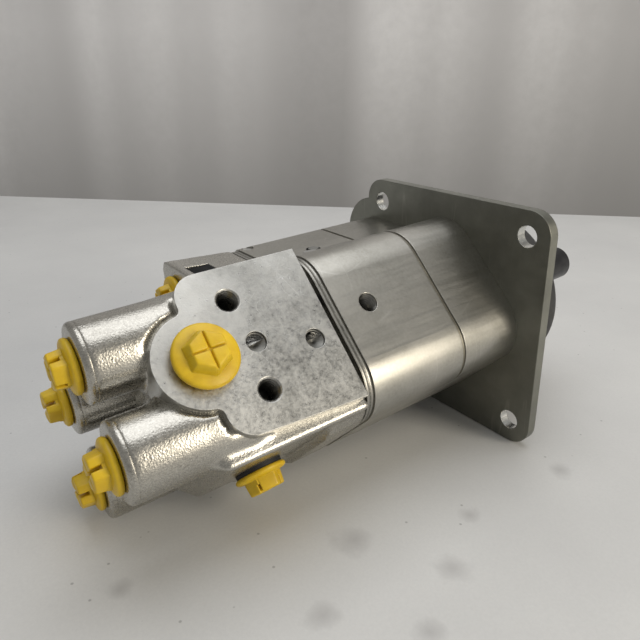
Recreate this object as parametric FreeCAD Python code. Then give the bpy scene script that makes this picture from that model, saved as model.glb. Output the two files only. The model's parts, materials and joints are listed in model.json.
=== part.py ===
import FreeCAD, Part
import math
import os

# Joystick pilot valve: a square mounting plate with a lever and a rubber boot above it,
# and three bolted housings below it that end in a cast port manifold.
#
# Frame: the origin is the centre of the plate's underside, +Z points up the lever, and the
# plate's sides lie along X and Y. The housings are turned 45 degrees to the plate.
# Lengths are in millimetres and angles in degrees.

Vector = FreeCAD.Vector
X_AXIS = Vector(1, 0, 0)
Y_AXIS = Vector(0, 1, 0)
Z_AXIS = Vector(0, 0, 1)
ORIGIN = Vector(0, 0, 0)
FULL_TURN = 360.0
edge_tolerance = 0.1

# Mounting plate
hole_spacing = 85.0
hole_radius = 4.5
plate_margin = 10.5
plate_corner_radius = 10.0
plate_thickness = 4.5
tab_reach = 16.5
tab_half_height = 43.0
tab_corner_radius = 20.0

# Housings: a rounded square with a lobe on one corner
body_half = 35.0
body_corner_radius = 18.0
body_turn = -135.0
lobe_reach = 55.5
lobe_half_height = 33.0
lobe_corner_radius = 5.0
head_height = 31.0
head_seal_thickness = 1.6
spool_body_height = 45.4
port_seal_thickness = 3.4
seal_inset = 0.5
spigot_radius = 31.0
spigot_height = 8.0
spigot_clearance = 0.15

# Four spool stations on the plate's own axes
station_radius = 22.0
bush_outer_radius = 6.5
bush_top = 10.0
bush_bottom = -4.0
bush_flange_radius = 7.6
bush_flange_thickness = 1.5
plunger_radius = 4.0
running_clearance = 0.04
chamber_radius = 8.6
chamber_depth = 7.4
spool_radius = 4.0

# Plungers, seats, springs and spools
plunger_gap = 0.3
plunger_stroke = 7.8
plunger_collar_radius = 5.4
plunger_collar_thickness = 2.0
stop_gap = 0.3
stem_radius = 2.4
seat_radius = 7.9
seat_thickness = 2.6
spring_gap = 0.3
return_wire = 1.5
return_mean_radius = 6.7
return_turns = 5.0
metering_wire = 0.9
metering_mean_radius = 3.7
metering_turns = 4.0
metering_length = 12.4
spool_head_radius = 4.9
spool_head_thickness = 2.0
spool_end_rise = 6.0
spool_waist_radius = 2.9
spool_waists = ((30.0, 6.0), (18.0, 7.0))

# Wiper seal in the mouth of each bush
wiper_outer_radius = 5.4
wiper_depth = 2.4

# Universal joint of the lever
pivot_height = 21.0
pin_radius = 2.5
ear_radius = 5.0
ear_thickness = 4.0
block_half = 6.0
block_chamfer = 1.0
ear_gap = 0.4
base_flange_radius = 12.0
base_flange_thickness = 2.0
base_shank_radius = 6.0
base_shank_length = 14.0
yoke_clear_height = 9.5
yoke_bridge_thickness = 5.0
stub_pin_gap = 0.6

# Cam disc, lever stub, lock nut and handle coupling
cam_ring_inner = 15.0
cam_ring_outer = 26.0
cam_ring_thickness = 4.0
cam_wall = 4.0
lever_radius = 6.0
nut_flats = 19.0
nut_height = 8.0
coupling_radius = 8.5
coupling_bottom = 71.0
coupling_top = 90.0
coupling_chamfer = 1.2
handle_thread_radius = 4.25
handle_thread_depth = 16.0

# Boot and its clamp ring
boot_wall = 2.0
boot_flange_radius = 44.0
boot_flange_thickness = 2.0
boot_clearance = 0.3
boot_folds = ((37.6, 15.0), (36.8, 19.0), (39.4, 25.0), (39.4, 33.0), (31.5, 36.5), (32.5, 40.0),
              (24.5, 44.5), (25.5, 48.0), (18.0, 53.0), (19.0, 56.5), (11.0, 62.0), (9.6, 69.0))
ring_thickness = 2.0
ring_screw_circle = 38.0
ring_screw_radius = 2.0
ring_screw_head_radius = 3.6
ring_screw_head_height = 2.4
ring_screw_head_round = 0.8
ring_screw_length = 16.0

# Tie bolts through the housings
tie_bolt_across = 11.0
tie_bolt_out = 28.0
tie_bolt_radius = 3.0
tie_hole_clearance = 0.3
tie_head_radius = 5.0
tie_head_height = 6.0
tie_head_clearance = 0.4
tie_bolt_grip = 16.0

# Cast port manifold
block_half_across = 33.0
block_draft = 3.6
block_half_deep = 30.0
block_ledge = 28.0
block_corner_radius = 6.0
ledge_edge_radius = 1.2
block_length = 47.0
block_end_taper = 9.0
block_end_inset = 7.0
lobe_length = 31.0
pad_face = 36.0
pad_high_side = 31.2
pad_low_side = 28.6
pad_low_side_at_end = 26.2
pad_setback = 2.6
pad_corner_radius = 9.0
pad_neck_radius = 2.5
pad_groove_width = 1.6
pad_groove_depth = 2.4
pad_end = -133.0
port_shift = 2.4
tank_port_height = -132.0
tank_boss_radius = 16.4
tank_port_radius = 8.2
tank_port_depth = 26.0
pad_bolt_across = 16.5
pad_bolt_height = -116.2
pad_thread_radius = 3.4
pad_thread_depth = 10.0
pad_bolt_sink_radius = 5.3
pad_bolt_sink_depth = 0.8
dimple_radius = 3.9
dimple_depth = 1.6
dimple_places = ((2.3, -113.2), (-3.4, -92.6))
work_port_across = 16.5
work_port_out = 22.5
work_row_shift = {1: 1.2, -1: 4.6}
work_boss_radius = 13.5
work_boss_root_radius = 14.2
work_boss_root_end = -140.0
work_boss_root_start = -124.0
work_boss_end = -165.3
work_port_radius = 5.8
work_port_depth = 40.0
drilling_radius = 2.5
chamber_end = -100.0
pressure_port_height = -117.0
pressure_boss_radius = 12.0
pressure_boss_standout = 1.0
pressure_port_radius = 5.8
gallery_radius = 3.0
gallery_rise = 18.0
lobe_port_place = (-43.0, -20.0)
lobe_port_radius = 5.8
lobe_port_depth = 14.0
lobe_pocket = (-51.0, -42.0, -104.0, -92.5)
lobe_pocket_depth = 4.0

# Small features of the spool body, each with its rise above the body's lower end
gauge_port_radius = 3.8
gauge_port_across = 3.0
gauge_port_depth = 10.0
gauge_port_rise = 13.4
drilling_plug_radius = 2.9
drilling_plug_rise = 9.0
drilling_plug_turn = -10.0
drilling_plug_depth = 5.0
drilling_plug_sink = 0.8
lobe_drilling_places = ((-50.0, 4.0),)

# Yellow transport plugs: rim, shank, and a tapered hexagonal head with two crossed slots
plug_rim_chamfer = 0.6
small_plug = dict(rim=9.2, rim_thickness=2.2, shank=5.6, shank_length=9.0, foot_flats=12.0, top_flats=11.0,
                  head=6.4, slot=1.0, slot_depth=3.2)
large_plug = dict(rim=10.9, rim_thickness=2.6, shank=8.0, shank_length=10.0, foot_flats=15.6, top_flats=12.4,
                  head=4.8, slot=0.8, slot_depth=1.2)
side_plug = dict(rim=9.6, rim_thickness=2.0, shank=5.6, shank_length=9.0, foot_flats=12.4, top_flats=11.4,
                 head=6.4, slot=1.0, slot_depth=3.2)
washer_outer_radius = 8.7
washer_inner_radius = 5.75
washer_thickness = 2.6

# Places that follow from the sizes above
hole_offset = hole_spacing / 2
plate_half = hole_offset + plate_margin
plate_top = plate_thickness
head_bottom = -head_height
seal_top_bottom = head_bottom - head_seal_thickness
spool_body_bottom = seal_top_bottom - spool_body_height
manifold_top = spool_body_bottom - port_seal_thickness
block_bottom = manifold_top - block_length
lobe_bottom = manifold_top - lobe_length
chamber_bottom = seal_top_bottom - chamber_depth
plunger_top = pivot_height + plunger_radius
cam_face = plunger_top + plunger_gap
seat_top = bush_bottom - stop_gap - plunger_stroke - plunger_collar_thickness
seat_bottom = seat_top - seat_thickness
spool_top = seat_bottom - spring_gap - metering_length - spring_gap
spool_end = spool_body_bottom + spool_end_rise
gallery_top = spool_body_bottom + gallery_rise
gauge_port_height = spool_body_bottom + gauge_port_rise
boot_foot_radius = ring_screw_circle - ring_screw_head_radius - boot_clearance
ring_inner_radius = boot_foot_radius + boot_clearance + boot_clearance
ring_top = plate_top + boot_flange_thickness + ring_thickness
boot_foot_top = ring_top + ring_screw_head_height + boot_clearance
boot_outline = ((boot_foot_radius, boot_foot_top),) + boot_folds
block_draft_to_port = block_draft * (manifold_top - pressure_port_height) / (block_length - block_end_taper)
pressure_boss_reach = block_half_across - block_draft_to_port + pressure_boss_standout
stations = {"east": 0.0, "north": 90.0, "west": 180.0, "south": 270.0}
work_ports = [(across * work_port_across + work_row_shift[row], row * work_port_out)
              for row in (1, -1) for across in (1, -1)]


def turned(shape, degrees=body_turn):
    """A copy of a shape turned about the lever's axis."""
    copy = shape.copy()
    copy.rotate(ORIGIN, Z_AXIS, degrees)
    return copy


def moved(shape, x=0.0, y=0.0, z=0.0):
    copy = shape.copy()
    copy.translate(Vector(x, y, z))
    return copy


def rod(radius, z_low, z_high, x=0.0, y=0.0):
    """A round bar that stands along Z."""
    return Part.makeCylinder(radius, z_high - z_low, Vector(x, y, z_low))


def tube(inner, outer, z_low, z_high, x=0.0, y=0.0):
    return rod(outer, z_low, z_high, x, y).cut(rod(inner, z_low, z_high, x, y))


def bar(radius, start, direction, length):
    """A round bar from a start point along any direction."""
    return Part.makeCylinder(radius, length, start, direction)


def edges_along(shape, axis):
    """The straight edges of a shape that run along an axis."""
    return [edge for edge in shape.Edges
            if edge.tangentAt(edge.FirstParameter).cross(axis).Length < edge_tolerance]


def rounded_rectangle(x_low, x_high, y_low, y_high, radius, z, high_radius=None):
    """A flat rectangular face with rounded corners. Those at its high Y side may differ."""
    places = ((x_low, y_low), (x_high, y_low), (x_high, y_high), (x_low, y_high))
    points = [Vector(x, y, z) for x, y in places]
    slab = Part.Face(Part.makePolygon(points + points[:1])).extrude(Z_AXIS)
    middle = (y_low + y_high) / 2
    for side, side_radius in ((-1, radius), (1, radius if high_radius is None else high_radius)):
        corners = [edge for edge in edges_along(slab, Z_AXIS) if (edge.CenterOfMass.y - middle) * side > 0]
        slab = slab.makeFillet(side_radius, corners)
    return min(slab.Faces, key=lambda face: face.CenterOfMass.z)


def rounded_block(x_low, x_high, y_low, y_high, z_low, z_high, radius):
    face = rounded_rectangle(x_low, x_high, y_low, y_high, radius, z_low)
    return face.extrude(Vector(0, 0, z_high - z_low))


def hexagon_wire(flats, z):
    corner = flats / math.sqrt(3)
    angles = [math.radians(FULL_TURN / 6 * k) for k in range(7)]
    return Part.makePolygon([Vector(corner * math.cos(a), corner * math.sin(a), z) for a in angles])


def hexagon(flats, z_low, z_high):
    return Part.Face(hexagon_wire(flats, z_low)).extrude(Vector(0, 0, z_high - z_low))


def fuse(shapes):
    """Joins solids into one and removes the seams between faces on one surface."""
    return shapes[0].multiFuse(shapes[1:]).removeSplitter()


def station_place(name):
    angle = math.radians(stations[name])
    return station_radius * math.cos(angle), station_radius * math.sin(angle)


def body_section(z_low, z_high, inset=0.0):
    """The outline that the housings and seal plates share: a rounded square and a lobe towards -X."""
    half = body_half - inset
    square = turned(rounded_block(-half, half, -half, half, z_low, z_high, body_corner_radius - inset))
    lobe = rounded_block(inset - lobe_reach, 0.0, inset - lobe_half_height, lobe_half_height - inset,
                         z_low, z_high, lobe_corner_radius)
    return fuse([square, lobe])


def tie_places():
    """Four bolt places in the housings' own turned frame."""
    across, out = tie_bolt_across, tie_bolt_out
    return ((across, out), (-out, across), (-across, -out), (out, -across))


def tie_holes(z_low, z_high):
    radius = tie_bolt_radius + tie_hole_clearance
    return [turned(rod(radius, z_low, z_high, x, y)) for x, y in tie_places()]


def mounting_plate():
    """Square plate with a rounded tab over the lobe, four holes and a bore for the head's spigot."""
    square = rounded_block(-plate_half, plate_half, -plate_half, plate_half,
                           0.0, plate_top, plate_corner_radius)
    tab = rounded_block(-plate_half - tab_reach, 0.0, -tab_half_height, tab_half_height,
                        0.0, plate_top, tab_corner_radius)
    plate = fuse([square, tab])
    holes = [rod(hole_radius, 0.0, plate_top, sx * hole_offset, sy * hole_offset)
             for sx in (-1, 1) for sy in (-1, 1)]
    holes.append(rod(spigot_radius + spigot_clearance, 0.0, plate_top))
    holes += [rod(ring_screw_radius + tie_hole_clearance, 0.0, plate_top, x, y)
              for x, y in ring_screw_places()]
    return plate.cut(holes)


def ring_screw_places():
    angles = [math.radians(angle) for angle in stations.values()]
    return [(ring_screw_circle * math.cos(a), ring_screw_circle * math.sin(a)) for a in angles]


def head_body():
    """Upper housing: bush seats in the spigot, spring chambers below, and a thread for the joint base."""
    body = fuse([body_section(head_bottom, 0.0), rod(spigot_radius, 0.0, spigot_height)])
    cuts = []
    for name in stations:
        x, y = station_place(name)
        cuts.append(rod(bush_outer_radius, bush_bottom, spigot_height, x, y))
        cuts.append(rod(chamber_radius, head_bottom, bush_bottom, x, y))
    cuts.append(rod(base_shank_radius, spigot_height - base_shank_length, spigot_height))
    cuts += tie_holes(head_bottom, 0.0)
    sink = tie_head_radius + tie_head_clearance
    cuts += [turned(rod(sink, -tie_head_height, spigot_height, x, y)) for x, y in tie_places()]
    cuts += [rod(ring_screw_radius, ring_top - ring_screw_length, 0.0, x, y)
             for x, y in ring_screw_places()]
    return body.cut(cuts)


def seal_plate(z_low, z_high, hole_radius_at_stations, galleries):
    body = body_section(z_low, z_high, seal_inset)
    cuts = tie_holes(z_low, z_high)
    for name in stations:
        x, y = station_place(name)
        cuts.append(rod(hole_radius_at_stations, z_low, z_high, x, y))
    if galleries:
        cuts.append(rod(gallery_radius, z_low, z_high))
        cuts.append(turned(rod(gallery_radius, z_low, z_high, 0.0, tank_gallery_out())))
    return body.cut(cuts)


def tank_gallery_out():
    """How far the tank gallery stands from the axis: half way to the pad's ports."""
    return station_radius / 2


def spool_body():
    """Middle housing: four spool bores, the gauge port on the pad side and plugged drillings."""
    body = body_section(spool_body_bottom, seal_top_bottom)
    cuts = tie_holes(spool_body_bottom, seal_top_bottom)
    for name in stations:
        x, y = station_place(name)
        cuts.append(rod(chamber_radius, chamber_bottom, seal_top_bottom, x, y))
        cuts.append(rod(spool_radius + running_clearance, spool_body_bottom, chamber_bottom, x, y))
        cuts.append(bar(gallery_radius / 2, Vector(0, 0, gallery_top), Vector(x, y, 0), station_radius))
    cuts.append(rod(gallery_radius, spool_body_bottom, gallery_top + gallery_radius))
    cuts.append(turned(rod(gallery_radius, spool_body_bottom, seal_top_bottom, 0.0, tank_gallery_out())))
    gauge_start = Vector(gauge_port_across, body_half, gauge_port_height)
    cuts.append(turned(bar(gauge_port_radius, gauge_start, -Y_AXIS, gauge_port_depth)))
    cuts += [bar(drilling_plug_radius, start, direction, drilling_plug_depth)
             for start, direction in drilling_places()]
    return body.cut(cuts)


def drilling_places():
    """Start point and inward direction of each small plugged drilling."""
    ridge = (body_half - body_corner_radius) * math.sqrt(2) + body_corner_radius
    angle = math.radians(-90 + drilling_plug_turn)
    outward = Vector(math.cos(angle), math.sin(angle), 0)
    places = [(outward * ridge + Z_AXIS * (spool_body_bottom + drilling_plug_rise), -outward)]
    places += [(Vector(x, -lobe_half_height, spool_body_bottom + rise), Y_AXIS)
               for x, rise in lobe_drilling_places]
    return places


def drilling_plugs():
    plugs = [bar(drilling_plug_radius, start + direction * drilling_plug_sink, direction,
                 drilling_plug_depth - drilling_plug_sink) for start, direction in drilling_places()]
    return Part.makeCompound(plugs)


def manifold_block():
    """Main cast block with its lobe, tapered where it runs into the bosses."""
    levels = ((manifold_top, 0.0, 0.0), (block_bottom + block_end_taper, block_draft, 0.0),
              (block_bottom, block_draft + block_end_inset, block_end_inset))
    outlines = [rounded_rectangle(side - block_half_across, block_half_across - side,
                                  deep - block_half_deep, block_ledge - deep, block_corner_radius, z,
                                  ledge_edge_radius).OuterWire
                for z, side, deep in levels]
    block = fuse([Part.makeLoft(pair, True, True) for pair in (outlines[:2], outlines[1:])])
    collar = rounded_block(-body_half, body_half, -body_half, block_ledge, manifold_top - lobe_length / 2,
                           manifold_top, body_corner_radius / 2)
    lobe = rounded_block(-lobe_reach, 0.0, -lobe_half_height, lobe_half_height, lobe_bottom, manifold_top,
                         lobe_corner_radius)
    return [turned(block), turned(collar.common(block_envelope())), lobe]


def block_envelope():
    """The housings' rounded square, which the manifold's upper collar follows."""
    return rounded_block(-body_half, body_half, -body_half, body_half, block_bottom, manifold_top,
                         body_corner_radius)


def pad_plate():
    """The flange pad and the round boss of its port as one flat plate with filleted necks."""
    foot = block_ledge - block_corner_radius
    high = manifold_top - pad_setback
    corners = ((-pad_low_side, high), (pad_high_side, high), (pad_high_side, pad_end),
               (-pad_low_side_at_end, pad_end))
    points = [Vector(across, foot, z) for across, z in corners]
    pad = Part.Face(Part.makePolygon(points + points[:1])).extrude(Y_AXIS * (pad_face - foot))
    far_corners = [edge for edge in edges_along(pad, Y_AXIS) if edge.BoundBox.ZMax < pad_end + edge_tolerance]
    pad = pad.makeFillet(pad_corner_radius, far_corners)
    boss = bar(tank_boss_radius, Vector(port_shift, foot, tank_port_height), Y_AXIS, pad_face - foot)
    plate = fuse([pad, boss])
    necks = [edge for edge in edges_along(plate, Y_AXIS)
             if abs(edge.CenterOfMass.z - pad_end) < edge_tolerance
             and abs(edge.CenterOfMass.x - port_shift) < tank_boss_radius + edge_tolerance]
    return plate.makeFillet(pad_neck_radius, necks)


def machined_pad():
    """Flat flange pad, backed by a round boss about the tank port."""
    boss = bar(tank_boss_radius, Vector(port_shift, 0, tank_port_height), Y_AXIS, block_ledge)
    return [turned(pad_plate()), turned(boss)]


def pad_groove():
    """Channel round the pad that keeps the casting below its milled face."""
    plate = pad_plate()
    face = max(plate.Faces, key=lambda face: face.CenterOfMass.y)
    grown = face.makeOffset2D(pad_groove_width)
    channel = moved(grown, y=-pad_groove_depth).extrude(Y_AXIS * (pad_groove_depth + work_boss_radius))
    return turned(channel.cut(plate))


def work_bosses():
    """Four port bosses with a thicker root where they leave the block."""
    bosses = []
    for x, y in work_ports:
        straight = rod(work_boss_radius, work_boss_end, block_bottom + block_end_taper, x, y)
        root_length = work_boss_root_start - work_boss_root_end
        foot = Vector(x, y, work_boss_root_end)
        root = Part.makeCone(work_boss_radius, work_boss_root_radius, root_length, foot)
        bosses.append(turned(fuse([straight, root])))
    core = rounded_block(-work_port_across, work_port_across, -work_port_out, work_port_out,
                         work_boss_root_end, block_bottom + block_end_taper, block_corner_radius)
    bosses.append(turned(core))
    return bosses


def manifold_cuts():
    cuts = tie_holes(manifold_top - tie_bolt_grip, manifold_top)
    for x, y in work_ports:
        mouth = work_boss_end + work_port_depth
        cuts.append(turned(rod(work_port_radius, work_boss_end, mouth, x, y)))
        cuts.append(turned(rod(drilling_radius, mouth, chamber_end + chamber_radius, x, y)))
    for name in stations:
        x, y = station_place(name)
        cuts.append(rod(bush_outer_radius, chamber_end, manifold_top, x, y))
    tank_start = Vector(port_shift, pad_face, tank_port_height)
    cuts.append(turned(bar(tank_port_radius, tank_start, -Y_AXIS, tank_port_depth)))
    cuts.append(turned(rod(gallery_radius, tank_port_height, manifold_top, 0.0, tank_gallery_out())))
    for side in (-1, 1):
        start = Vector(port_shift + side * pad_bolt_across, pad_face, pad_bolt_height)
        cuts.append(turned(bar(pad_thread_radius, start, -Y_AXIS, pad_thread_depth)))
        cuts.append(turned(bar(pad_bolt_sink_radius, start, -Y_AXIS, pad_bolt_sink_depth)))
    for across, height in dimple_places:
        cuts.append(turned(bar(dimple_radius, Vector(across, pad_face, height), -Y_AXIS, dimple_depth)))
    pressure_start = Vector(-pressure_boss_reach, 0, pressure_port_height)
    cuts.append(turned(bar(pressure_port_radius, pressure_start, X_AXIS, pressure_boss_reach)))
    cuts.append(rod(gallery_radius, pressure_port_height, manifold_top))
    x, y = lobe_port_place
    cuts.append(rod(lobe_port_radius, lobe_bottom, lobe_bottom + lobe_port_depth, x, y))
    x_low, x_high, z_low, z_high = lobe_pocket
    cuts.append(Part.makeBox(x_high - x_low, lobe_pocket_depth, z_high - z_low,
                             Vector(x_low, -lobe_half_height, z_low)))
    return cuts


def port_manifold():
    pressure_boss = turned(bar(pressure_boss_radius, Vector(-pressure_boss_reach, 0, pressure_port_height),
                               X_AXIS, pressure_boss_reach))
    casting = fuse(manifold_block() + machined_pad() + work_bosses() + [pressure_boss])
    return casting.cut(pad_groove()).cut(manifold_cuts())


def transport_plug(rim, rim_thickness, shank, shank_length, foot_flats, top_flats, head, slot, slot_depth):
    """A plastic plug that points along +Z, with its rim seated at z = 0 and its shank below."""
    disc = rod(rim, 0.0, rim_thickness)
    top_rim = [edge for edge in disc.Edges
               if edge.Closed and edge.BoundBox.ZMin > rim_thickness - edge_tolerance]
    disc = disc.makeChamfer(plug_rim_chamfer, top_rim)
    head_top = rim_thickness + head
    ends = [hexagon_wire(foot_flats, rim_thickness), hexagon_wire(top_flats, head_top)]
    post = Part.makeLoft(ends, True, True)
    for length_x, length_y in ((2 * foot_flats, slot), (slot, 2 * foot_flats)):
        corner = Vector(-length_x / 2, -length_y / 2, head_top - slot_depth)
        post = post.cut(Part.makeBox(length_x, length_y, slot_depth, corner))
    return fuse([rod(shank, -shank_length, 0.0), disc, post])


def pointed(shape, direction, place):
    """Turns a shape from +Z to a direction and moves its origin to a place."""
    copy = shape.copy()
    copy.Placement = FreeCAD.Placement(place, FreeCAD.Rotation(Z_AXIS, direction))
    return copy


def work_port_plug(x, y):
    place = Vector(x, y, work_boss_end)
    return turned(pointed(transport_plug(**small_plug), -Z_AXIS, place))


def tank_port_plug():
    place = Vector(port_shift, pad_face, tank_port_height)
    return turned(pointed(transport_plug(**large_plug), Y_AXIS, place))


def pressure_port_plug():
    seat = Vector(-pressure_boss_reach - washer_thickness, 0, pressure_port_height)
    return turned(pointed(transport_plug(**side_plug), -X_AXIS, seat))


def pressure_port_washer():
    ring = tube(washer_inner_radius, washer_outer_radius, 0.0, washer_thickness)
    return turned(pointed(ring, -X_AXIS, Vector(-pressure_boss_reach, 0, pressure_port_height)))


def lobe_port_plug():
    x, y = lobe_port_place
    return pointed(transport_plug(**small_plug), -Z_AXIS, Vector(x, y, lobe_bottom))


def tie_bolts():
    """Socket head bolts that hold head, spool body and manifold together."""
    bolts = []
    for x, y in tie_places():
        head = rod(tie_head_radius, -tie_head_height, 0.0, x, y)
        socket = moved(hexagon(tie_head_radius, -tie_head_height / 2, 0.0), x, y)
        shank = rod(tie_bolt_radius, manifold_top - tie_bolt_grip, -tie_head_height, x, y)
        bolts.append(turned(fuse([head.cut(socket), shank])))
    return Part.makeCompound(bolts)


def plunger_bushes():
    """Guide bushes with a flange on the spigot and a mouth for the wiper."""
    bushes = []
    for name in stations:
        x, y = station_place(name)
        sleeve = rod(bush_outer_radius, bush_bottom, bush_top, x, y)
        flange = rod(bush_flange_radius, spigot_height, spigot_height + bush_flange_thickness, x, y)
        bore = rod(plunger_radius + running_clearance, bush_bottom, bush_top, x, y)
        mouth = rod(wiper_outer_radius, bush_top - wiper_depth, bush_top, x, y)
        bushes.append(fuse([sleeve, flange]).cut([bore, mouth]))
    return Part.makeCompound(bushes)


def wiper_seals():
    rings = []
    for name in stations:
        x, y = station_place(name)
        rings.append(tube(plunger_radius + running_clearance, wiper_outer_radius, bush_top - wiper_depth,
                          bush_top, x, y))
    return Part.makeCompound(rings)


def plunger(name):
    """Push rod with a stop collar and a stem. Its round end has its centre at pivot height, so the
    tilted cam stays on it with one ratio both ways."""
    x, y = station_place(name)
    shaft = rod(plunger_radius, seat_top, pivot_height, x, y)
    dome = Part.makeSphere(plunger_radius, Vector(x, y, pivot_height))
    collar = rod(plunger_collar_radius, seat_top, seat_top + plunger_collar_thickness, x, y)
    stem = rod(stem_radius, seat_bottom, seat_top, x, y)
    return fuse([shaft, dome, collar, stem])


def spring_seat(name):
    x, y = station_place(name)
    return tube(stem_radius, seat_radius, seat_bottom, seat_top, x, y)


def coil_spring(wire, mean_radius, turns, z_low, z_high):
    """A compression spring of square wire between two heights."""
    height = z_high - z_low - wire
    helix = Part.makeHelix(height / turns, height, mean_radius)
    half = wire / 2
    corners = (Vector(mean_radius - half, 0, -half), Vector(mean_radius + half, 0, -half),
               Vector(mean_radius + half, 0, half), Vector(mean_radius - half, 0, half))
    section = Part.makePolygon(corners + corners[:1])
    coil = Part.Wire(helix.Edges).makePipeShell([section], True, True)
    return moved(coil, z=z_low + half)


def return_spring(name):
    x, y = station_place(name)
    spring = coil_spring(return_wire, return_mean_radius, return_turns, chamber_bottom + spring_gap,
                         seat_bottom - spring_gap)
    return moved(spring, x, y)


def metering_spring(name):
    x, y = station_place(name)
    spring = coil_spring(metering_wire, metering_mean_radius, metering_turns, spool_top + spring_gap,
                         seat_bottom - spring_gap)
    return moved(spring, x, y)


def spool(name):
    """Control spool with a spring head and two metering waists."""
    x, y = station_place(name)
    body = fuse([rod(spool_radius, spool_end, spool_top - spool_head_thickness, x, y),
                 rod(spool_head_radius, spool_top - spool_head_thickness, spool_top, x, y)])
    waists = []
    for rise, length in spool_waists:
        low = spool_body_bottom + rise
        waists.append(tube(spool_waist_radius, spool_radius, low, low + length, x, y))
    return body.cut(waists)


def ear_pair(along, z_flat):
    """Two rounded ears either side of the block, joined by nothing, with pin bores."""
    inner = block_half + ear_gap
    ears = []
    for side in (-1, 1):
        start = along * (inner if side > 0 else -inner - ear_thickness) + Z_AXIS * pivot_height
        round_end = bar(ear_radius, start, along, ear_thickness)
        across = Z_AXIS.cross(along)
        low, high = min(z_flat, pivot_height), max(z_flat, pivot_height)
        corner = start - Z_AXIS * pivot_height + Z_AXIS * low - across * ear_radius
        thick, wide = along * ear_thickness, across * 2 * ear_radius
        points = [corner, corner + thick, corner + thick + wide, corner + wide, corner]
        leg = Part.Face(Part.makePolygon(points)).extrude(Vector(0, 0, high - low))
        ears.append(round_end.fuse(leg))
    return ears


def pin_bore(along, clearance):
    reach = block_half + ear_gap + ear_thickness
    return bar(pin_radius + clearance, along * -reach + Z_AXIS * pivot_height, along, 2 * reach)


def pivot_base():
    """Lower fork of the universal joint, screwed into the head."""
    flange_top = spigot_height + base_flange_thickness
    flange = rod(base_flange_radius, spigot_height, flange_top)
    shank = rod(base_shank_radius, spigot_height - base_shank_length, spigot_height)
    return fuse([flange, shank] + ear_pair(X_AXIS, spigot_height)).cut(pin_bore(X_AXIS, running_clearance))


def cross_pin():
    reach = block_half + ear_gap + ear_thickness
    return bar(pin_radius, X_AXIS * -reach + Z_AXIS * pivot_height, X_AXIS, 2 * reach)


def cross_block():
    """Centre block of the universal joint, with both pins pressed into it."""
    size = 2 * block_half
    block = Part.makeBox(size, size, size, Vector(-block_half, -block_half, pivot_height - block_half))
    block = block.makeChamfer(block_chamfer, block.Edges)
    return block.cut([pin_bore(X_AXIS, 0.0), pin_bore(Y_AXIS, 0.0)])


def stub_pins():
    """Two short pins that carry the lever's fork and stop short of the long pin."""
    inner = pin_radius + stub_pin_gap
    reach = block_half + ear_gap + ear_thickness
    starts = [Y_AXIS * y + Z_AXIS * pivot_height for y in (inner, -reach)]
    return Part.makeCompound([bar(pin_radius, start, Y_AXIS, reach - inner) for start in starts])


def lever_yoke():
    """Upper fork: two ears under a round bridge that carries the cam disc."""
    bridge_low = pivot_height + yoke_clear_height
    bridge_radius = block_half + ear_gap + ear_thickness + ear_gap
    bridge = rod(bridge_radius, bridge_low, bridge_low + yoke_bridge_thickness)
    return fuse([bridge] + ear_pair(Y_AXIS, bridge_low)).cut(pin_bore(Y_AXIS, running_clearance))


def cam_disc():
    """Bell with a flat ring above the pivot that presses the plungers."""
    hub_low = pivot_height + yoke_clear_height + yoke_bridge_thickness
    hub_top = hub_low + cam_wall
    cam_top = cam_face + cam_ring_thickness
    yoke_edge = block_half + ear_gap + ear_thickness + 2 * ear_gap
    outline = [(lever_radius, hub_low), (yoke_edge, hub_low), (cam_ring_inner, hub_low - cam_wall),
               (cam_ring_inner, cam_face), (cam_ring_outer, cam_face), (cam_ring_outer, cam_top),
               (cam_ring_inner + cam_wall, cam_top), (cam_ring_inner + cam_wall, hub_low - cam_wall / 2),
               (yoke_edge + cam_wall, hub_top), (lever_radius, hub_top)]
    points = [Vector(r, 0, z) for r, z in outline]
    return Part.Face(Part.makePolygon(points + points[:1])).revolve(ORIGIN, Z_AXIS, FULL_TURN)


def lock_nut():
    low = pivot_height + yoke_clear_height + yoke_bridge_thickness + cam_wall
    return hexagon(nut_flats, low, low + nut_height).cut(rod(lever_radius, low, low + nut_height))


def lever_stub():
    low = pivot_height + yoke_clear_height + yoke_bridge_thickness
    return rod(lever_radius, low, coupling_top - handle_thread_depth - coupling_chamfer)


def handle_coupling():
    """Round coupling on the end of the lever, threaded inside for a handle."""
    barrel = rod(coupling_radius, coupling_bottom, coupling_top)
    barrel = barrel.makeChamfer(coupling_chamfer, [edge for edge in barrel.Edges if edge.Closed])
    shelf = coupling_top - handle_thread_depth
    return barrel.cut([rod(handle_thread_radius, shelf, coupling_top),
                       rod(lever_radius, coupling_bottom, shelf - coupling_chamfer)])


def boot():
    """Rubber bellows: flange under the clamp ring, a wide skirt and a neck on the lever."""
    flange_top = plate_top + boot_flange_thickness
    inner_edge = spigot_radius + boot_clearance
    outer = [(boot_flange_radius, plate_top), (boot_flange_radius, flange_top),
             (boot_outline[0][0], flange_top)] + list(boot_outline)
    neck_radius = lever_radius + boot_clearance
    neck_top = boot_outline[-1][1]
    inner = [(max(radius - boot_wall, neck_radius), height - boot_wall / 2)
             for radius, height in boot_outline[:-1]]
    outline = outer + [(neck_radius, neck_top), (neck_radius, boot_outline[-2][1])] + inner[::-1][1:]
    outline += [(inner[0][0], flange_top), (inner_edge, flange_top), (inner_edge, plate_top)]
    points = [Vector(r, 0, z) for r, z in outline]
    return Part.Face(Part.makePolygon(points + points[:1])).revolve(ORIGIN, Z_AXIS, FULL_TURN)


def boot_ring():
    low = ring_top - ring_thickness
    ring = tube(ring_inner_radius, boot_flange_radius, low, ring_top)
    holes = [rod(ring_screw_radius + tie_hole_clearance, low, ring_top, x, y)
             for x, y in ring_screw_places()]
    return ring.cut(holes)


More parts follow.
